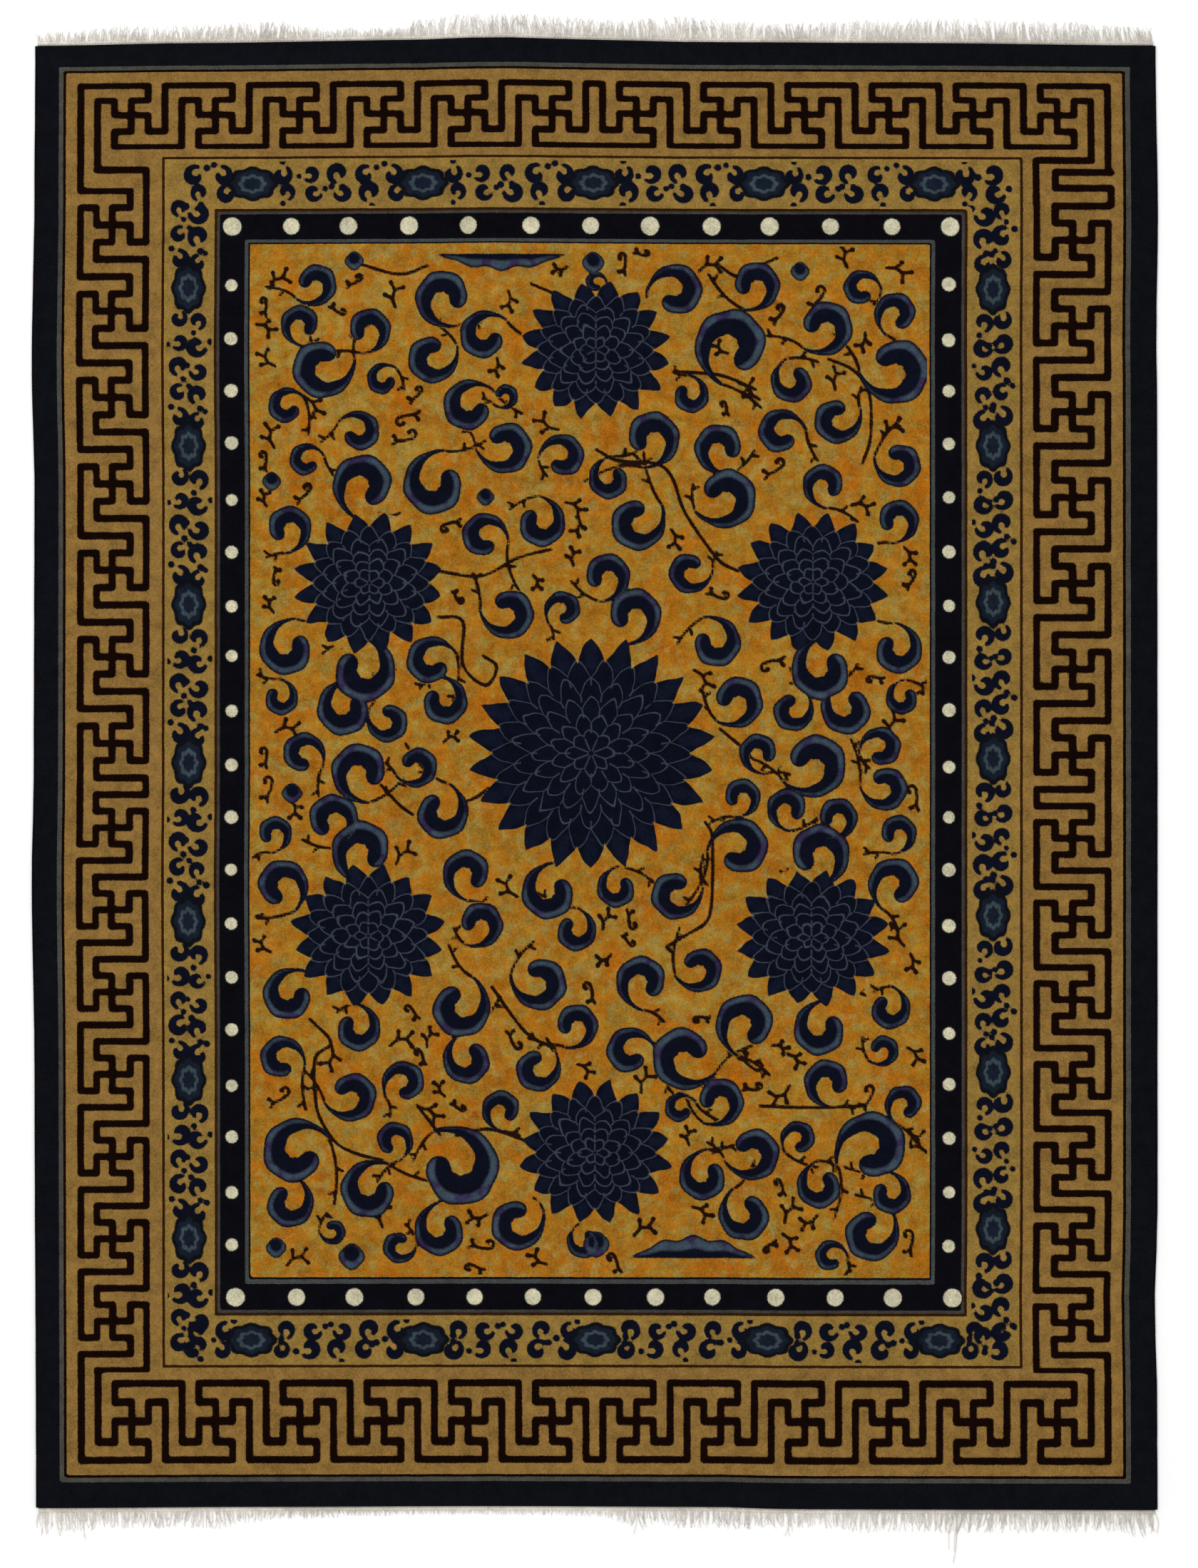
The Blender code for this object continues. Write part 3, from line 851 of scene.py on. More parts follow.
pilePieces = []
cuts = np.linspace(0, rows - 1, pileShape["strips"] + 1).round().astype(int)
for k, (start, end) in enumerate(zip(cuts, cuts[1:])):
    picked = np.arange(start, end + 1)
    piece = makeSlab(f"pile_{k + 1}", picked, np.arange(columns), pointZ[picked], pileShape["backHeight"])
    pilePieces.append(piece)
backRows, backColumns = [np.unique(np.append(np.arange(0, count, pileShape["backStep"]), count - 1))
                         for count in (rows, columns)]
backLow, backSpread = pileShape["backKnots"]
backDraw = np.random.default_rng(pileShape["backSeed"])
backZ = backLow + backDraw.uniform(0, backSpread, (len(backRows), len(backColumns)))
back = makeSlab("knotted_back", backRows, backColumns, backZ, pileShape["backTop"], lookUp=False)
print("pile and back made")

# Side cords

cordShape = {
    "seed": 41,
    "radius": 0.0031,
    "wrap": 0.0062,          # distance between two turns of the wrapping yarn
    "wrapDepth": 0.12,       # shares of the radius: the yarn's ripple, the mean and the lumps
    "mean": 0.92,
    "lumps": 0.084,
    "lumpCount": 90,
    "samples": 3,            # rings in one turn
    "sides": 8,
    "endGap": 0.001,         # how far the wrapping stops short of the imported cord's ends
    "standOff": 0.98,        # middle of the cord from the pile's edge, as a share of its radius
}


def ringFaces(count, sides):
    # quads between neighbouring rings of points, and one face at each end
    index = np.arange(count * sides).reshape(count, sides)
    after = np.roll(index, -1, axis=1)
    quads = np.stack([index[:-1], after[:-1], after[1:], index[1:]], axis=-1).reshape(-1, 4)
    return quads.tolist() + [index[0][::-1].tolist(), index[-1].tolist()]


def makeSideCord(name, side, alongEdge, edge):
    # a bundle of warps wrapped in yarn: rings along the edge, whose radius is a mean plus slow lumps
    # plus a sine that goes round once with each turn of the yarn, flattened where it would pass the floor
    low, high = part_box(name)
    turns, gap = int((high.y - low.y) / cordShape["wrap"]), cordShape["endGap"]
    y = np.linspace(low.y + gap, high.y - gap, turns * cordShape["samples"])[:, None]
    x = np.interp(y, alongEdge, edge) + side * cordShape["radius"] * cordShape["standOff"]
    draw = np.random.default_rng(cordShape["seed"] + side)
    lumpPlaces = np.linspace(low.y, high.y, cordShape["lumpCount"])
    lumps = np.interp(y, lumpPlaces, draw.uniform(-1, 1, cordShape["lumpCount"])) * cordShape["lumps"]
    angle = (np.arange(cordShape["sides"]) + 0.5) * 2 * math.pi / cordShape["sides"]
    ripple = cordShape["wrapDepth"] * np.sin(2 * math.pi * y / cordShape["wrap"] + angle)
    radius = cordShape["radius"] * (cordShape["mean"] + lumps + ripple)
    z = np.maximum(cordShape["radius"] + radius * np.sin(angle), 0.0)
    points = np.stack(np.broadcast_arrays(x + radius * np.cos(angle), y, z), axis=-1)
    return makeMesh("wrapped_" + name, points.reshape(-1, 3).tolist(), ringFaces(len(y), cordShape["sides"]))


cords = [makeSideCord("side_cord_left", -1, leftAlong, leftEdge),
         makeSideCord("side_cord_right", 1, rightAlong, rightEdge)]
print("side cords made")

# Fringes

fringe = {
    "ends": {"upper": 1500, "lower": 1150},        # cotton ends of each fringe
    "seed": {"upper": 3, "lower": 4},
    "bins": 120,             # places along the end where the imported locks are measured
    "radius": 0.00085,
    "sections": 6,
    "clump": 0.026,          # spacing of the matted clumps
    "clumpPull": 0.36,       # how far an end is drawn to its clump by its tip
    "lean": 0.010,           # how far whole groups of ends lean to one side
    "leanGroups": 60,
    "wander": 0.004,         # how far each end strays by itself
    "usualLength": 0.05,     # an end of this length leans and strays by the full amount
    "mostReach": 1.6,
    "shortest": 0.55,        # shortest end beside the lock that it lies on
    "strayFrom": 1.25,       # a lock this much longer than its neighbours is a trailing end
    "strayEvery": 4,
    "strayLength": (0.8, 1.0),
    "rootGap": 0.003,        # from the corner to the first end, and from the last knots to an end's root
    "rootJitter": 0.001,
    "lift": 0.0022,          # highest rise of an end between its root and its tip
    "thickness": (0.75, 1.15),
    "taper": 0.45,
    "webWidth": 0.0102,
    "webHeight": 0.0026,
    "webPoints": 700,        # along the end
    "webSection": 6,         # across the web
    "webGap": 0.0004,
    "webRipple": 0.00018,
}


def lockLengths(node, side, along, edge):
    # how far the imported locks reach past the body: the longest in each bin along the end
    points = readPoints(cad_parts[node].data)
    count = fringe["bins"]
    bins = np.linspace(along[0], along[-1], count + 1)
    reach = side * (points[:, 1] - np.interp(points[:, 0], along, edge))
    longest = np.zeros(count)
    np.maximum.at(longest, np.clip(np.digitize(points[:, 0], bins) - 1, 0, count - 1), reach)
    return (bins[:-1] + bins[1:]) / 2, longest


def makeFringe(end, side, along, edge):
    # many thin four-sided yarns: each leaves the web, leans with its clump and lies down on the floor.
    # Aside it moves as the share of its length to the power 1.5, plus a sine; its height falls as a cube.
    draw = np.random.default_rng(fringe["seed"][end])
    places, longest = lockLengths("fringe_" + end, side, along, edge)
    padded = np.pad(longest, 2, mode="edge")
    usual = np.median(np.stack([padded[k:k + fringe["bins"]] for k in range(5)]), axis=0)
    count, sections = fringe["ends"][end], fringe["sections"]
    gap, jitter = fringe["rootGap"], fringe["rootJitter"]
    rootX = np.linspace(along[0] + gap, along[-1] - gap, count) + draw.uniform(-jitter, jitter, count)
    usualHere, longestHere = np.interp(rootX, places, usual), np.interp(rootX, places, longest)
    length = usualHere * draw.uniform(fringe["shortest"], 1.0, count)
    trailing = (longestHere > fringe["strayFrom"] * usualHere) & (np.arange(count) % fringe["strayEvery"] == 0)
    length = np.where(trailing, longestHere * draw.uniform(*fringe["strayLength"], count), length)
    clump = (np.floor(rootX / fringe["clump"]) + 0.5) * fringe["clump"]
    pull = (clump - rootX) * fringe["clumpPull"]
    groups = np.linspace(along[0], along[-1], fringe["leanGroups"])
    lean = fringe["lean"] * np.interp(rootX, groups, draw.uniform(-1, 1, fringe["leanGroups"]))
    own = draw.normal(0, fringe["wander"], count)
    bend = draw.normal(0, fringe["wander"], count)
    t = np.linspace(0, 1, sections)[None, :]
    reachShare = np.minimum(length / fringe["usualLength"], fringe["mostReach"])[:, None]
    x = rootX[:, None] + (pull[:, None] * t + (lean + own)[:, None] * t ** 1.5) * reachShare
    x = x + bend[:, None] * np.sin(math.pi * t) * reachShare
    start = np.interp(rootX, along, edge)[:, None] + side * gap
    y = start + side * (length[:, None] - gap) * t
    lift = draw.uniform(0, fringe["lift"], count)[:, None] * np.sin(math.pi * t) ** 2
    z = fringe["radius"] * 1.05 + (fringe["webHeight"] - fringe["radius"]) * (1 - t) ** 3 + lift * (1 - t)
    radius = fringe["radius"] * draw.uniform(*fringe["thickness"], count)[:, None]
    radius = radius * (1 - fringe["taper"] * t ** 2)
    points = np.empty((count, sections, 4, 3))
    for k in range(4):
        angle = math.pi / 4 + k * math.pi / 2
        points[:, :, k, 0] = x + radius * math.cos(angle)
        points[:, :, k, 1] = y
        points[:, :, k, 2] = np.maximum(z + radius * math.sin(angle), 0.0)
    index = np.arange(count * sections * 4).reshape(count, sections, 4)
    after = np.roll(index, -1, axis=2)
    quads = np.stack([index[:, :-1], index[:, 1:], after[:, 1:], after[:, :-1]], axis=-1).reshape(-1, 4)
    caps = np.concatenate([index[:, 0, :], index[:, -1, ::-1]])
    if side < 0:
        quads, caps = quads[:, ::-1], caps[:, ::-1]
    return makeMesh("yarns_" + end, points.reshape(-1, 3).tolist(), quads.tolist() + caps.tolist())


def makeWeb(name, side, along, edge):
    # the narrow cotton weave past the last knots: a low arch of a sine in section, carried along the end
    x = np.linspace(along[0], along[-1], fringe["webPoints"])[:, None]
    base = np.interp(x, along, edge) + side * fringe["webGap"]
    share = np.linspace(0, 1, fringe["webSection"])
    arch = fringe["webHeight"] * (0.30 + 0.70 * np.sin(math.pi * (0.15 + 0.7 * share)))
    ripple = fringe["webRipple"] * np.sin(np.arange(len(x)) * math.pi)[:, None]
    acrossWeb = base + side * fringe["webWidth"] * share
    topPoints = np.stack(np.broadcast_arrays(x, acrossWeb, arch + ripple), axis=-1)
    floorPoints = topPoints[:, [-1, 0], :].copy()
    floorPoints[..., 2] = 0.0
    section = np.concatenate([topPoints, floorPoints], axis=1)
    faces = ringFaces(*section.shape[:2])
    if side > 0:
        faces = [face[::-1] for face in faces]
    return makeMesh(name, section.reshape(-1, 3).tolist(), faces)


fringes = [
    (makeFringe("upper", 1, upperAlong, upperEdge),
     makeWeb("web_upper", 1, upperAlong, upperEdge), "fringe_upper"),
    (makeFringe("lower", -1, lowerAlong, lowerEdge),
     makeWeb("web_lower", -1, lowerAlong, lowerEdge), "fringe_lower"),
]
print("fringes made")

# Materials

dyes = {                     # as seen in the photo, 0 to 255
    "navy": (11, 13, 18),
    "paleLine": (66, 65, 58),
    "darkLine": (15, 4, 2),
    "fretGold": (129, 98, 49),
    "bandGold": (133, 105, 50),
    "brown": (44, 23, 7),
    "greyLine": (58, 55, 50),
    "pearlNavy": (8, 7, 13),
    "innerLine": (60, 63, 61),
    "fieldGold": (149, 108, 32),
    "fieldOrange": (157, 91, 14),
    "fieldPale": (142, 124, 62),
    "leafBody": (9, 12, 25),
    "leafRim": (55, 68, 80),
    "leafViolet": (50, 42, 72),
    "bloomNavy": (8, 12, 24),
    "bloomPetal": (13, 17, 32),
    "bloomLine": (56, 61, 74),
    "twig": (28, 12, 6),
    "flowerBlue": (19, 26, 38),
    "flowerLight": (54, 66, 72),
    "pearl": (190, 184, 156),
    "cotton": (236, 229, 217),
}


def linear(name):
    # display colour to Blender's linear colour
    shares = [value / 255 for value in dyes[name]]
    return tuple(s / 12.92 if s <= 0.04045 else ((s + 0.055) / 1.055) ** 2.4 for s in shares) + (1.0,)


def addNode(tree, kind, inputs=None, **settings):
    # a shader node with its settings, whose inputs are either linked or given a value
    node = tree.nodes.new(kind)
    for key, value in settings.items():
        setattr(node, key, value)
    for key, value in (inputs or {}).items():
        if isinstance(value, bpy.types.NodeSocket):
            tree.links.new(value, node.inputs[key])
        else:
            node.inputs[key].default_value = value
    return node


def calc(tree, operation, *values):
    # one step of arithmetic on values or sockets
    return addNode(tree, "ShaderNodeMath", dict(enumerate(values)), operation=operation).outputs[0]


def rangeShare(tree, value, low, high, top=1.0):
    # how far a value is on the way from low to high, from 0 to 1, times top
    node = addNode(tree, "ShaderNodeMapRange",
                   {"Value": value, "From Min": low, "From Max": high, "To Max": top})
    return node.outputs["Result"]


def below(tree, value, limit, soft=0.7):
    # 1 where value is under the limit, 0 over it, with a soft edge
    return rangeShare(tree, value, limit + soft, limit - soft)


def paint(tree, mask, under, over):
    # one colour laid over another where the mask is 1
    return addNode(tree, "ShaderNodeMix", {0: mask, 6: under, 7: over}, data_type="RGBA").outputs[2]


def objectPlace(tree):
    # each point's place in metres, the same on every piece
    return addNode(tree, "ShaderNodeTexCoord").outputs["Object"]


def noise(tree, place, scale, detail, roughness=0.5):
    # soft random values about 0.5
    node = addNode(tree, "ShaderNodeTexNoise",
                   {"Vector": place, "Scale": scale, "Detail": detail, "Roughness": roughness})
    return node.outputs["Fac"]


def readParts(tree, name):
    # the three values that the mesh carries under a name
    vector = addNode(tree, "ShaderNodeAttribute", attribute_name=name).outputs["Vector"]
    return addNode(tree, "ShaderNodeSeparateXYZ", {0: vector}).outputs


def newGroup(name, inputs, outputs):
    # an empty shader node group with its sockets, and its input and output nodes
    group = bpy.data.node_groups.new(name, "ShaderNodeTree")
    for label, kind, value in inputs:
        made = group.interface.new_socket(label, in_out="INPUT", socket_type=kind)
        made.default_value = value
    for label, kind in outputs:
        group.interface.new_socket(label, in_out="OUTPUT", socket_type=kind)
    return group, group.nodes.new("NodeGroupInput"), group.nodes.new("NodeGroupOutput")


yarnForm = {
    "streakScale": (1.2, 26.0, 1.0),     # across, along and up: long streaks that run across the carpet
    "blotchScale": 34.0,
    "uneven": 0.45,          # how far knots stray from even rows
    "shadeShare": 0.55,      # part of a knot's tone that is its own shade
    "paintedLightShare": (0.9, -0.31),          # and the painted highlight on its crest and painted shade between knots, with the amount that centres it
}


def makeYarnGroup():
    # dyed yarn: the colour times 1 plus twice the sum of streaks along the weft, blotches, and each knot's own
    # random tone plus a painted highlight on its crest and painted shade between knots, each of them less its
    # middle and times its own strength
    group, source, result = newGroup(
        "dyedYarnPaintedKnotLight",
        [("Color", "NodeSocketColor", (0.5, 0.5, 0.5, 1)), ("Streaks", "NodeSocketFloat", 0.2),
         ("Mottle", "NodeSocketFloat", 0.3), ("Knots", "NodeSocketFloat", 0.2),
         ("Knot Size", "NodeSocketFloat", 0.003)],
        [("Color", "NodeSocketColor"), ("Height", "NodeSocketFloat")])
    place = objectPlace(group)
    stretched = addNode(group, "ShaderNodeMapping", {"Vector": place, "Scale": yarnForm["streakScale"]})
    streak = noise(group, stretched.outputs[0], 1.0, 3.0)
    blotch = noise(group, place, yarnForm["blotchScale"], 4.0)
    flat = addNode(group, "ShaderNodeVectorMath", {0: place, 1: (1.0, 1.0, 0.0)}, operation="MULTIPLY")
    tufts = addNode(group, "ShaderNodeTexVoronoi", {
        "Vector": flat.outputs[0], "Scale": calc(group, "DIVIDE", 1.0, source.outputs["Knot Size"]),
        "Randomness": yarnForm["uneven"]})
    shade = addNode(group, "ShaderNodeSeparateColor", {0: tufts.outputs["Color"]}).outputs[0]
    # the crest is the knot's height for the bump, and it also lightens the colour: a painted highlight on each
    # knot's top and painted shade between knots
    crest = calc(group, "SUBTRACT", 1.0, tufts.outputs["Distance"])
    paintedCrestLight = calc(group, "MULTIPLY_ADD", crest, *yarnForm["paintedLightShare"])
    knot = calc(group, "ADD", calc(group, "MULTIPLY", shade, yarnForm["shadeShare"]), paintedCrestLight)
    total = None
    for name, tone in (("Streaks", streak), ("Mottle", blotch), ("Knots", knot)):
        part = calc(group, "MULTIPLY", calc(group, "SUBTRACT", tone, 0.5), source.outputs[name])
        total = part if total is None else calc(group, "ADD", total, part)
    gain = calc(group, "ADD", calc(group, "MULTIPLY", total, 2.0), 1.0)
    scaled = addNode(group, "ShaderNodeVectorMath", {0: source.outputs["Color"], 1: gain}, operation="MULTIPLY")
    group.links.new(scaled.outputs[0], result.inputs["Color"])
    group.links.new(crest, result.inputs["Height"])
    return group


yarnGroup = makeYarnGroup()


def startMaterial(name, roughness, sheen):
    # a matt fibre material, its node tree and its shader
    material = bpy.data.materials.new(name)
    material.use_nodes = True
    shader = material.node_tree.nodes["Principled BSDF"]
    for key, value in (("Roughness", roughness), ("Specular IOR Level", 0.03),
                       ("Sheen Weight", sheen), ("Sheen Roughness", 0.5)):
        shader.inputs[key].default_value = value
    return material, material.node_tree, shader


def dyeYarnPaintKnotLight(tree, colour, streaks, mottle, knots, knotSize):
    # the dyed yarn group on a colour: its colour, with a painted highlight on each knot and painted shade
    # between knots, and its height
    node = addNode(tree, "ShaderNodeGroup", {
        "Color": colour, "Streaks": streaks, "Mottle": mottle, "Knots": knots, "Knot Size": knotSize},
        node_tree=yarnGroup)
    return node.outputs["Color"], node.outputs["Height"]


def finishMaterial(tree, shader, colour, height, strength, distance):
    # the colour and the bump go into the shader
    bump = addNode(tree, "ShaderNodeBump", {"Height": height, "Strength": strength, "Distance": distance})
    tree.links.new(colour, shader.inputs["Base Color"])
    tree.links.new(bump.outputs["Normal"], shader.inputs["Normal"])


bandSteps = [
    # columns: band, photo pixels past its start, dye from there on
    ("edge", 0, "navy"), ("paleLine", 0, "paleLine"), ("paleLine", 6, "darkLine"), ("stripe", 0, "fretGold"),
    ("guardLine", 0, "brown"), ("guardLine", 4, "bandGold"), ("brownLine", 0, "brown"),
    ("brownLine", 4, "greyLine"), ("brownLine", 8, "pearlNavy"), ("innerLine", 0, "innerLine"),
    ("innerLine", 4.5, "navy"), ("field", 0, "fieldGold"),
]
rampSpan = 320.0             # the shared depth at the ramp's far end


def drawBands(tree, depthSocket):
    # the straight bands, as steps of colour over the shared depth
    ramp = addNode(tree, "ShaderNodeValToRGB", {"Fac": calc(tree, "DIVIDE", depthSocket, rampSpan)})
    ramp.color_ramp.interpolation = "CONSTANT"
    elements = ramp.color_ramp.elements
    elements.remove(elements[1])
    for k, (band, past, dye) in enumerate(bandSteps):
        position = (sharedDepth[band] + past) / rampSpan
        element = elements.new(position) if k else elements[0]
        element.position, element.color = position, linear(dye)
    return ramp.outputs["Color"]


bloomForm = {
    # columns: radius share, notch depth, petals on a small medallion, petals on the large one, phase
    "rings": [(1.00, 0.22, 16, 22, 0.0), (0.80, 0.20, 16, 22, 0.5), (0.64, 0.22, 12, 18, 0.0),
              (0.49, 0.24, 10, 16, 0.5), (0.34, 0.26, 8, 12, 0.0), (0.19, 0.30, 6, 8, 0.5)],
    "line": 2.4,             # width of the petal lines in photo pixels
    "uneven": 22.0,          # how far the weaver strays from the even rings, in photo pixels
    "unevenScale": 17.0,
    "wobble": 0.6,           # share of the pile's own wobble
    "tipPower": (1.2, 1.45), # outer ring, inner rings: over 1 makes round shoulders and a blunt tip
    "largeSpan": 130.0,      # half width in photo pixels from which a medallion is a large one
    "smallSpan": 50.0,       # under this there is no medallion
    "petalHalf": (0.42, 0.12),           # half width of the outer petals' lighter middle, and its soft edge
    "innerShare": 0.9,       # a ring's lines end at this share of the next ring's radius
    "sideStrength": 0.8,     # of the lines between two petals
}


def drawBloom(tree, colour, wobble):
    # rings of pointed petals: the radius falls from each tip to the notch between two petals, by a power
    # of the distance from the tip, and lines follow that edge and the notches
    x, y, span = readParts(tree, "dyeBloom")
    radius = calc(tree, "SQRT", calc(tree, "ADD", calc(tree, "MULTIPLY", x, x), calc(tree, "MULTIPLY", y, y)))
    turn = calc(tree, "DIVIDE", calc(tree, "ARCTAN2", y, x), 2 * math.pi)
    uneven = noise(tree, objectPlace(tree), bloomForm["unevenScale"], 1.0)
    uneven = calc(tree, "MULTIPLY", calc(tree, "SUBTRACT", uneven, 0.5), bloomForm["uneven"])
    uneven = calc(tree, "ADD", uneven, calc(tree, "MULTIPLY", wobble, bloomForm["wobble"]))
    large = calc(tree, "GREATER_THAN", span, bloomForm["largeSpan"])
    lines, petal = None, None
    for k, (share, notch, few, many, phase) in enumerate(bloomForm["rings"]):
        petals = calc(tree, "MULTIPLY_ADD", large, float(many - few), float(few))
        cycle = calc(tree, "FRACT", calc(tree, "ADD", calc(tree, "MULTIPLY", turn, petals), phase + 100.0))
        fromTip = calc(tree, "ABSOLUTE", calc(tree, "MULTIPLY_ADD", cycle, 2.0, -1.0))
        power = bloomForm["tipPower"][min(k, 1)]
        dip = calc(tree, "MULTIPLY", calc(tree, "POWER", fromTip, power), share * notch)
        edge = calc(tree, "SUBTRACT", share, dip)
        distance = calc(tree, "MULTIPLY", calc(tree, "SUBTRACT", radius, edge), span)
        distance = calc(tree, "ADD", distance, uneven)
        last = k + 1 == len(bloomForm["rings"])
        inner = 0.02 if last else bloomForm["rings"][k + 1][0] * bloomForm["innerShare"]
        outside = calc(tree, "GREATER_THAN", radius, inner)
        if k == 0:
            drawn = calc(tree, "GREATER_THAN", span, bloomForm["smallSpan"])
            bloom = calc(tree, "MULTIPLY", below(tree, distance, 0.0, 0.9), drawn)
            petal = calc(tree, "MULTIPLY", below(tree, fromTip, *bloomForm["petalHalf"]), outside)
        else:
            ringLine = below(tree, calc(tree, "ABSOLUTE", distance), bloomForm["line"] / 2, 0.8)
            # how far along its ring a point lies from the notch beside it, in photo pixels
            away = calc(tree, "MULTIPLY", radius, span)
            arc = calc(tree, "MULTIPLY", calc(tree, "SUBTRACT", 1.0, fromTip), away)
            arc = calc(tree, "DIVIDE", calc(tree, "MULTIPLY", arc, math.pi), petals)
            side = calc(tree, "MULTIPLY", below(tree, arc, 1.0, 0.7), outside)
            side = calc(tree, "MULTIPLY", side, below(tree, radius, share * (1 - notch), 0.01))
            drawn = calc(tree, "MAXIMUM", ringLine, calc(tree, "MULTIPLY", side, bloomForm["sideStrength"]))
            lines = drawn if lines is None else calc(tree, "MAXIMUM", lines, drawn)
    tone = paint(tree, petal, linear("bloomNavy"), linear("bloomPetal"))
    tone = paint(tree, lines, tone, linear("bloomLine"))
    return paint(tree, bloom, colour, tone)


pileLook = {
    # scale of the noise, and its swing in photo pixels: how far a dye's edge strays
    "knotWobble": (210.0, 2.0),
    "driftWobble": (28.0, 1.6),
    "bandWobble": 0.55,      # share of both that moves the straight bands
    # scale and detail of the noise, where the dye begins, where it is full, strength
    "orange": (9.0, 3.0, 0.42, 0.66, 1.0),
    "warm": (46.0, 2.0, 0.48, 0.34, 0.75),
    "pale": (46.0, 2.0, 0.50, 0.66, 0.7),
    "violetRim": (0.50, 0.62),
    # limit and soft edge in photo pixels
    "rim": (-0.6, 2.0),
    "flowerHeart": (-5.0, 1.0),
    "flowerRing": (13.0, 2.0, 1.0),      # how deep it lies, half width, soft edge
    "pearlOutline": (2.6, 1.0),
    "pearl": (0.0, 0.9),
    "yarn": (0.16, 0.30),    # streaks, knots (their random tone with the painted crest highlight and shade between knots)
    "bump": (0.5, 0.0012),   # strength, distance
}


def pileMaterial(name, wash, sheen, mottle, knotSize):
    # the whole design, laid from the ground up: bands, fret, twigs, leaves, blooms, flowers and pearls
    material, tree, shader = startMaterial(name, 0.95, sheen)
    line, twigLine, leaf = readParts(tree, "dyeLines")
    rim, pearls, flower = readParts(tree, "dyeSpots")
    place = objectPlace(tree)
    (knotScale, knotSwing), (driftScale, driftSwing) = pileLook["knotWobble"], pileLook["driftWobble"]
    drift = noise(tree, place, driftScale, 1.0)
    wobble = calc(tree, "ADD",
                  calc(tree, "MULTIPLY_ADD", noise(tree, place, knotScale, 1.0), knotSwing, -knotSwing / 2),
                  calc(tree, "MULTIPLY_ADD", drift, driftSwing, -driftSwing / 2))

    def wobbled(distance):
        # a distance plus the knots' unevenness
        return calc(tree, "ADD", distance, wobble)

    def over(mask, under, dye):
        # a named dye laid over a colour where the mask is 1
        return paint(tree, mask, under, linear(dye))

    def patches(look, roughness=0.5):
        # blotches of another dye, by the row of that name in pileLook
        scale, detail, low, high, strength = pileLook[look]
        share = rangeShare(tree, noise(tree, place, scale, detail, roughness), low, high)
        return calc(tree, "MULTIPLY", share, strength)

    shift = calc(tree, "MULTIPLY", wobble, pileLook["bandWobble"])
    depthNow = calc(tree, "ADD", readParts(tree, "dyeDepth")[0], shift)
    rusty = calc(tree, "MAXIMUM", patches("orange", 0.6), patches("warm"))
    field = paint(tree, rusty, linear("fieldGold"), linear("fieldOrange"))
    field = over(patches("pale"), field, "fieldPale")
    inside = calc(tree, "GREATER_THAN", depthNow, float(sharedDepth["field"]))
    colour = paint(tree, inside, drawBands(tree, depthNow), field)

    for distance, dye in ((line, "darkLine"), (twigLine, "twig"), (leaf, "leafBody")):
        colour = over(below(tree, wobbled(distance), 0.0), colour, dye)
    rimDye = over(rangeShare(tree, drift, *pileLook["violetRim"]), linear("leafRim"), "leafViolet")
    colour = paint(tree, below(tree, wobbled(rim), *pileLook["rim"]), colour, rimDye)
    colour = drawBloom(tree, colour, wobble)
    flower, pearls = wobbled(flower), wobbled(pearls)
    colour = over(below(tree, flower, 0.0), colour, "navy")
    colour = over(below(tree, flower, *pileLook["flowerHeart"]), colour, "flowerBlue")
    ringDeep, ringHalf, ringSoft = pileLook["flowerRing"]
    fromRing = calc(tree, "ABSOLUTE", calc(tree, "ADD", flower, ringDeep))
    colour = over(below(tree, fromRing, ringHalf, ringSoft), colour, "flowerLight")
    colour = over(below(tree, pearls, *pileLook["pearlOutline"]), colour, "navy")
    colour = over(below(tree, pearls, *pileLook["pearl"]), colour, "pearl")

    streaks, knots = pileLook["yarn"]
    dyed, height = dyeYarnPaintKnotLight(tree, colour, streaks, mottle, knots, knotSize)
    if wash > 0:
        dyed = over(wash, dyed, "cotton")
    finishMaterial(tree, shader, dyed, height, *pileLook["bump"])
    return material


cottonLook = {
    "soil": (7.0, 5.0, 0.40, 0.7, 0.6),  # scale, detail, where it begins, where it is full, strength
    "soilColour": (0.48, 0.43, 0.35, 1.0),
    "yarn": (0.05, 0.25, 0.2, 0.0012),   # streaks, mottle, knots (random tone with painted crest highlight and shade between knots), knot size
    "threads": (1.5, 0.6),   # distortion of the waves and their share of the height
    "bump": (0.6, 0.0008),
}


def cottonMaterial(name, fineScale):
    # unbleached cotton: thread-fine waves, greyer where it is soiled
    material, tree, shader = startMaterial(name, 0.92, 0.05)
    place = objectPlace(tree)
    scale, detail, low, high, strength = cottonLook["soil"]
    soiled = rangeShare(tree, noise(tree, place, scale, detail), low, high, strength)
    colour = paint(tree, soiled, linear("cotton"), cottonLook["soilColour"])
    dyed, height = dyeYarnPaintKnotLight(tree, colour, *cottonLook["yarn"])
    distortion, share = cottonLook["threads"]
    threads = addNode(tree, "ShaderNodeTexWave",
                      {"Vector": place, "Scale": fineScale, "Distortion": distortion})
    height = calc(tree, "ADD", height, calc(tree, "MULTIPLY", threads.outputs["Fac"], share))
    finishMaterial(tree, shader, dyed, height, *cottonLook["bump"])
    return material


edgeLook = {
    "rub": (12.0, 4.0, 0.5, 0.75, 0.5),  # scale, detail, where it begins, where it is full, strength
    "yarn": (0.0, 0.3, 0.3, 0.0016),     # streaks, mottle, knots (random tone with painted crest highlight and shade between knots), knot size
    "bump": (0.6, 0.0008),
}


def edgeWoolMaterial():
    # dark wrapping wool, a little browner where it is rubbed
    material, tree, shader = startMaterial("wrapped edge wool", 0.9, 0.01)
    scale, detail, low, high, strength = edgeLook["rub"]
    rubbed = rangeShare(tree, noise(tree, objectPlace(tree), scale, detail), low, high, strength)
    colour = paint(tree, rubbed, linear("navy"), linear("brown"))
    dyed, height = dyeYarnPaintKnotLight(tree, colour, *edgeLook["yarn"])
    finishMaterial(tree, shader, dyed, height, *edgeLook["bump"])
    return material


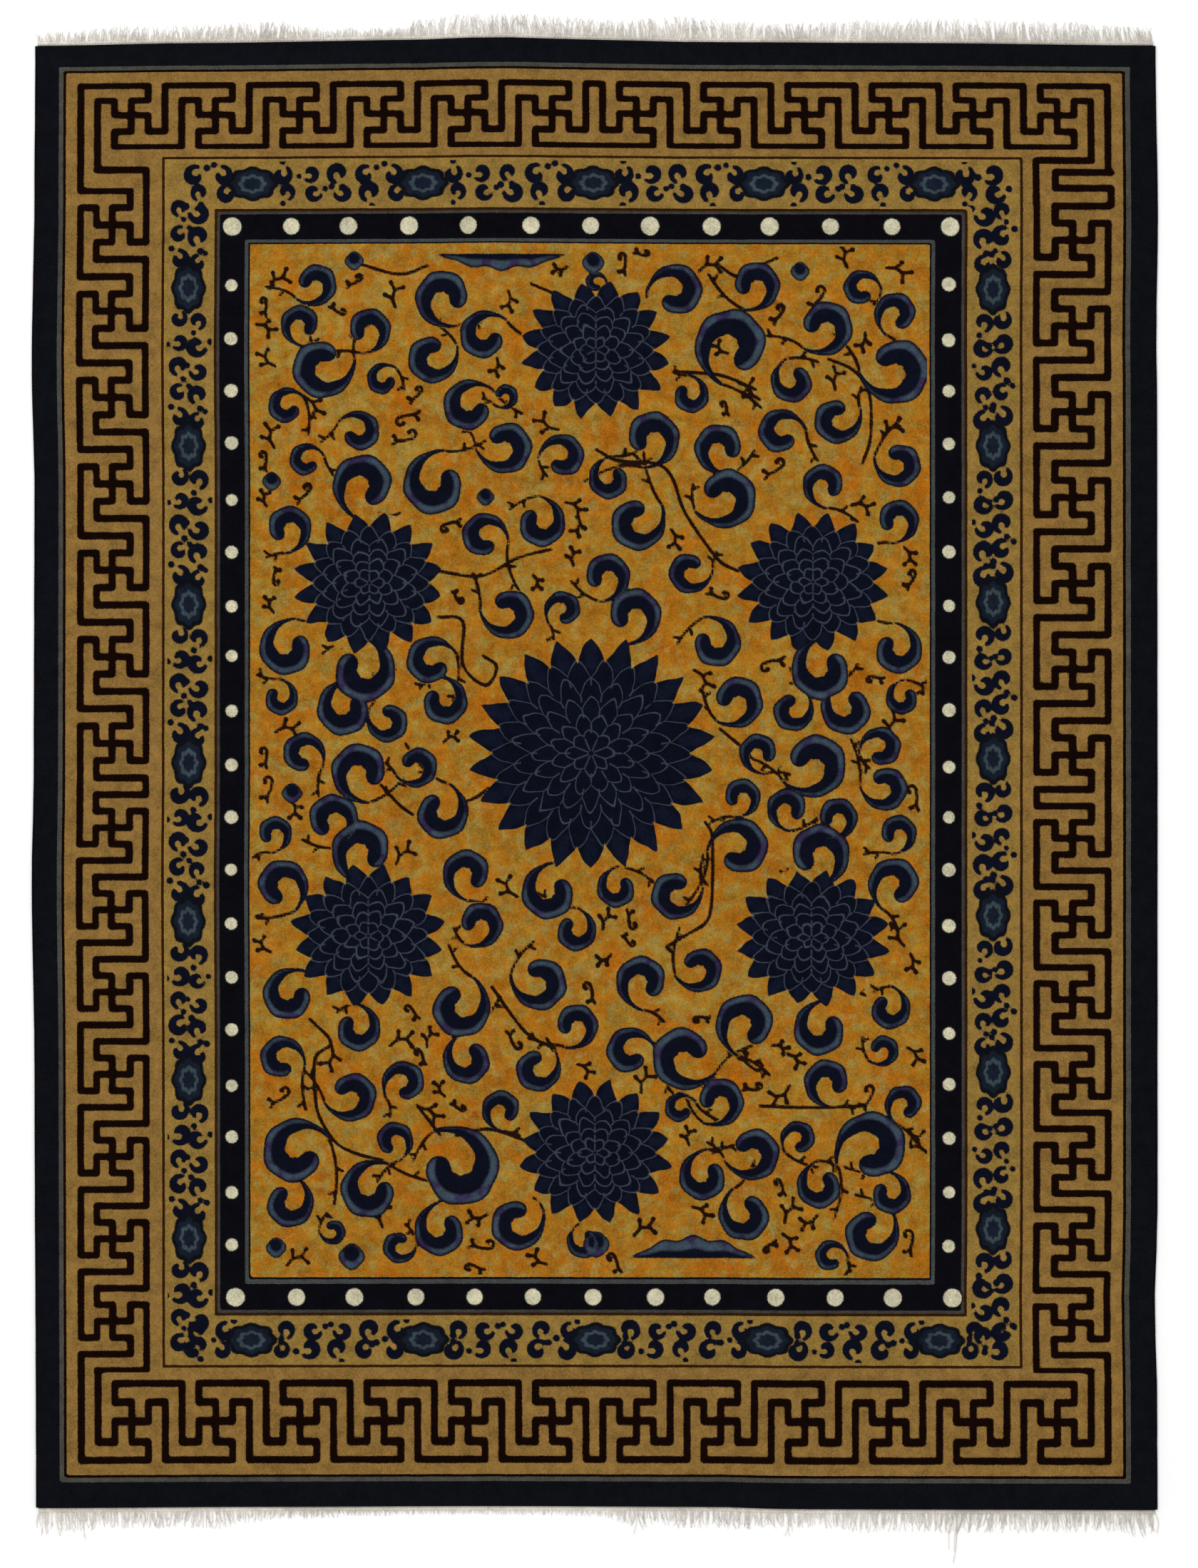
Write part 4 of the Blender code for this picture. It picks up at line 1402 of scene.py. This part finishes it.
# columns: name, share of cotton that shows, sheen, mottle, knot size
pileFinish = pileMaterial("clipped wool pile", 0.0, 0.01, 0.45, 0.0034)
backFinish = pileMaterial("knot backs", 0.07, 0.0, 0.3, 0.0026)
cottonYarnFinish = cottonMaterial("cotton fringe", 180.0)
cottonWebFinish = cottonMaterial("cotton web", 320.0)
edgeFinish = edgeWoolMaterial()


def dress(piece, material, nodes):
    # a piece's material, its body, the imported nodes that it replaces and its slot
    piece.data.materials.append(material)
    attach(piece, "root")
    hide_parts(*nodes)


for piece in pilePieces:
    dress(piece, pileFinish, ["carpet"])
dress(back, backFinish, ["carpet"])
for cord, node in zip(cords, ("side_cord_left", "side_cord_right")):
    dress(cord, edgeFinish, [node])
for yarns, web, node in fringes:
    dress(yarns, cottonYarnFinish, [node])
    dress(web, cottonWebFinish, [node])

print("pieces dressed")

# Stage: pale floor, soft light, camera straight above

stage = {
    "floorHalf": 14.0,
    "floorHeight": -0.0004,
    "lens": 85.0,
    "sensor": 36.0,
    "worldStrength": 0.86,
    # columns: name, place, size, power
    "lights": [("key", (-5.0, 4.5, 8.0), 5.0, 300.0), ("fill", (6.0, -3.0, 7.0), 6.0, 90.0)],
}

half, level = stage["floorHalf"], stage["floorHeight"]
corners = [(-half, -half, level), (half, -half, level), (half, half, level), (-half, half, level)]
floor = makeMesh("floor", corners, [(0, 1, 2, 3)], smooth=False)
floorFinish = bpy.data.materials.new("pale floor")
floorFinish.use_nodes = True
floorShader = floorFinish.node_tree.nodes["Principled BSDF"]
for key, value in (("Base Color", (0.93, 0.93, 0.93, 1.0)), ("Roughness", 0.9), ("Specular IOR Level", 0.1)):
    floorShader.inputs[key].default_value = value
floor.data.materials.append(floorFinish)

world = bpy.data.worlds.new("studio")
world.use_nodes = True
sky = world.node_tree.nodes["Background"]
sky.inputs["Color"].default_value = (1.0, 1.0, 1.0, 1.0)
sky.inputs["Strength"].default_value = stage["worldStrength"]
bpy.context.scene.world = world


def softLight(name, place, size, power):
    # a square area light that is turned towards the middle of the floor
    lamp = bpy.data.lights.new(name, "AREA")
    lamp.shape, lamp.size, lamp.energy = "SQUARE", size, power
    light = bpy.data.objects.new(name, lamp)
    bpy.context.scene.collection.objects.link(light)
    light.location = place
    x, y, z = place
    light.rotation_euler = (math.atan2(math.hypot(x, y), z), 0.0, math.atan2(-y, -x) - math.pi / 2)


for row in stage["lights"]:
    softLight(*row)

cameraData = bpy.data.cameras.new("camera")
cameraData.lens, cameraData.sensor_width = stage["lens"], stage["sensor"]
camera = bpy.data.objects.new("camera", cameraData)
bpy.context.scene.collection.objects.link(camera)
cameraHeight = photoHeight * pixel * stage["lens"] / stage["sensor"]
camera.location = (centreX + (photoWidth / 2 - middleAcross) * pixel,
                   centreY + (middleDown - photoHeight / 2) * pixel,
                   cameraHeight + pileShape["crown"])
bpy.context.scene.camera = camera
bpy.context.scene.view_settings.view_transform = "Standard"
print("stage set")
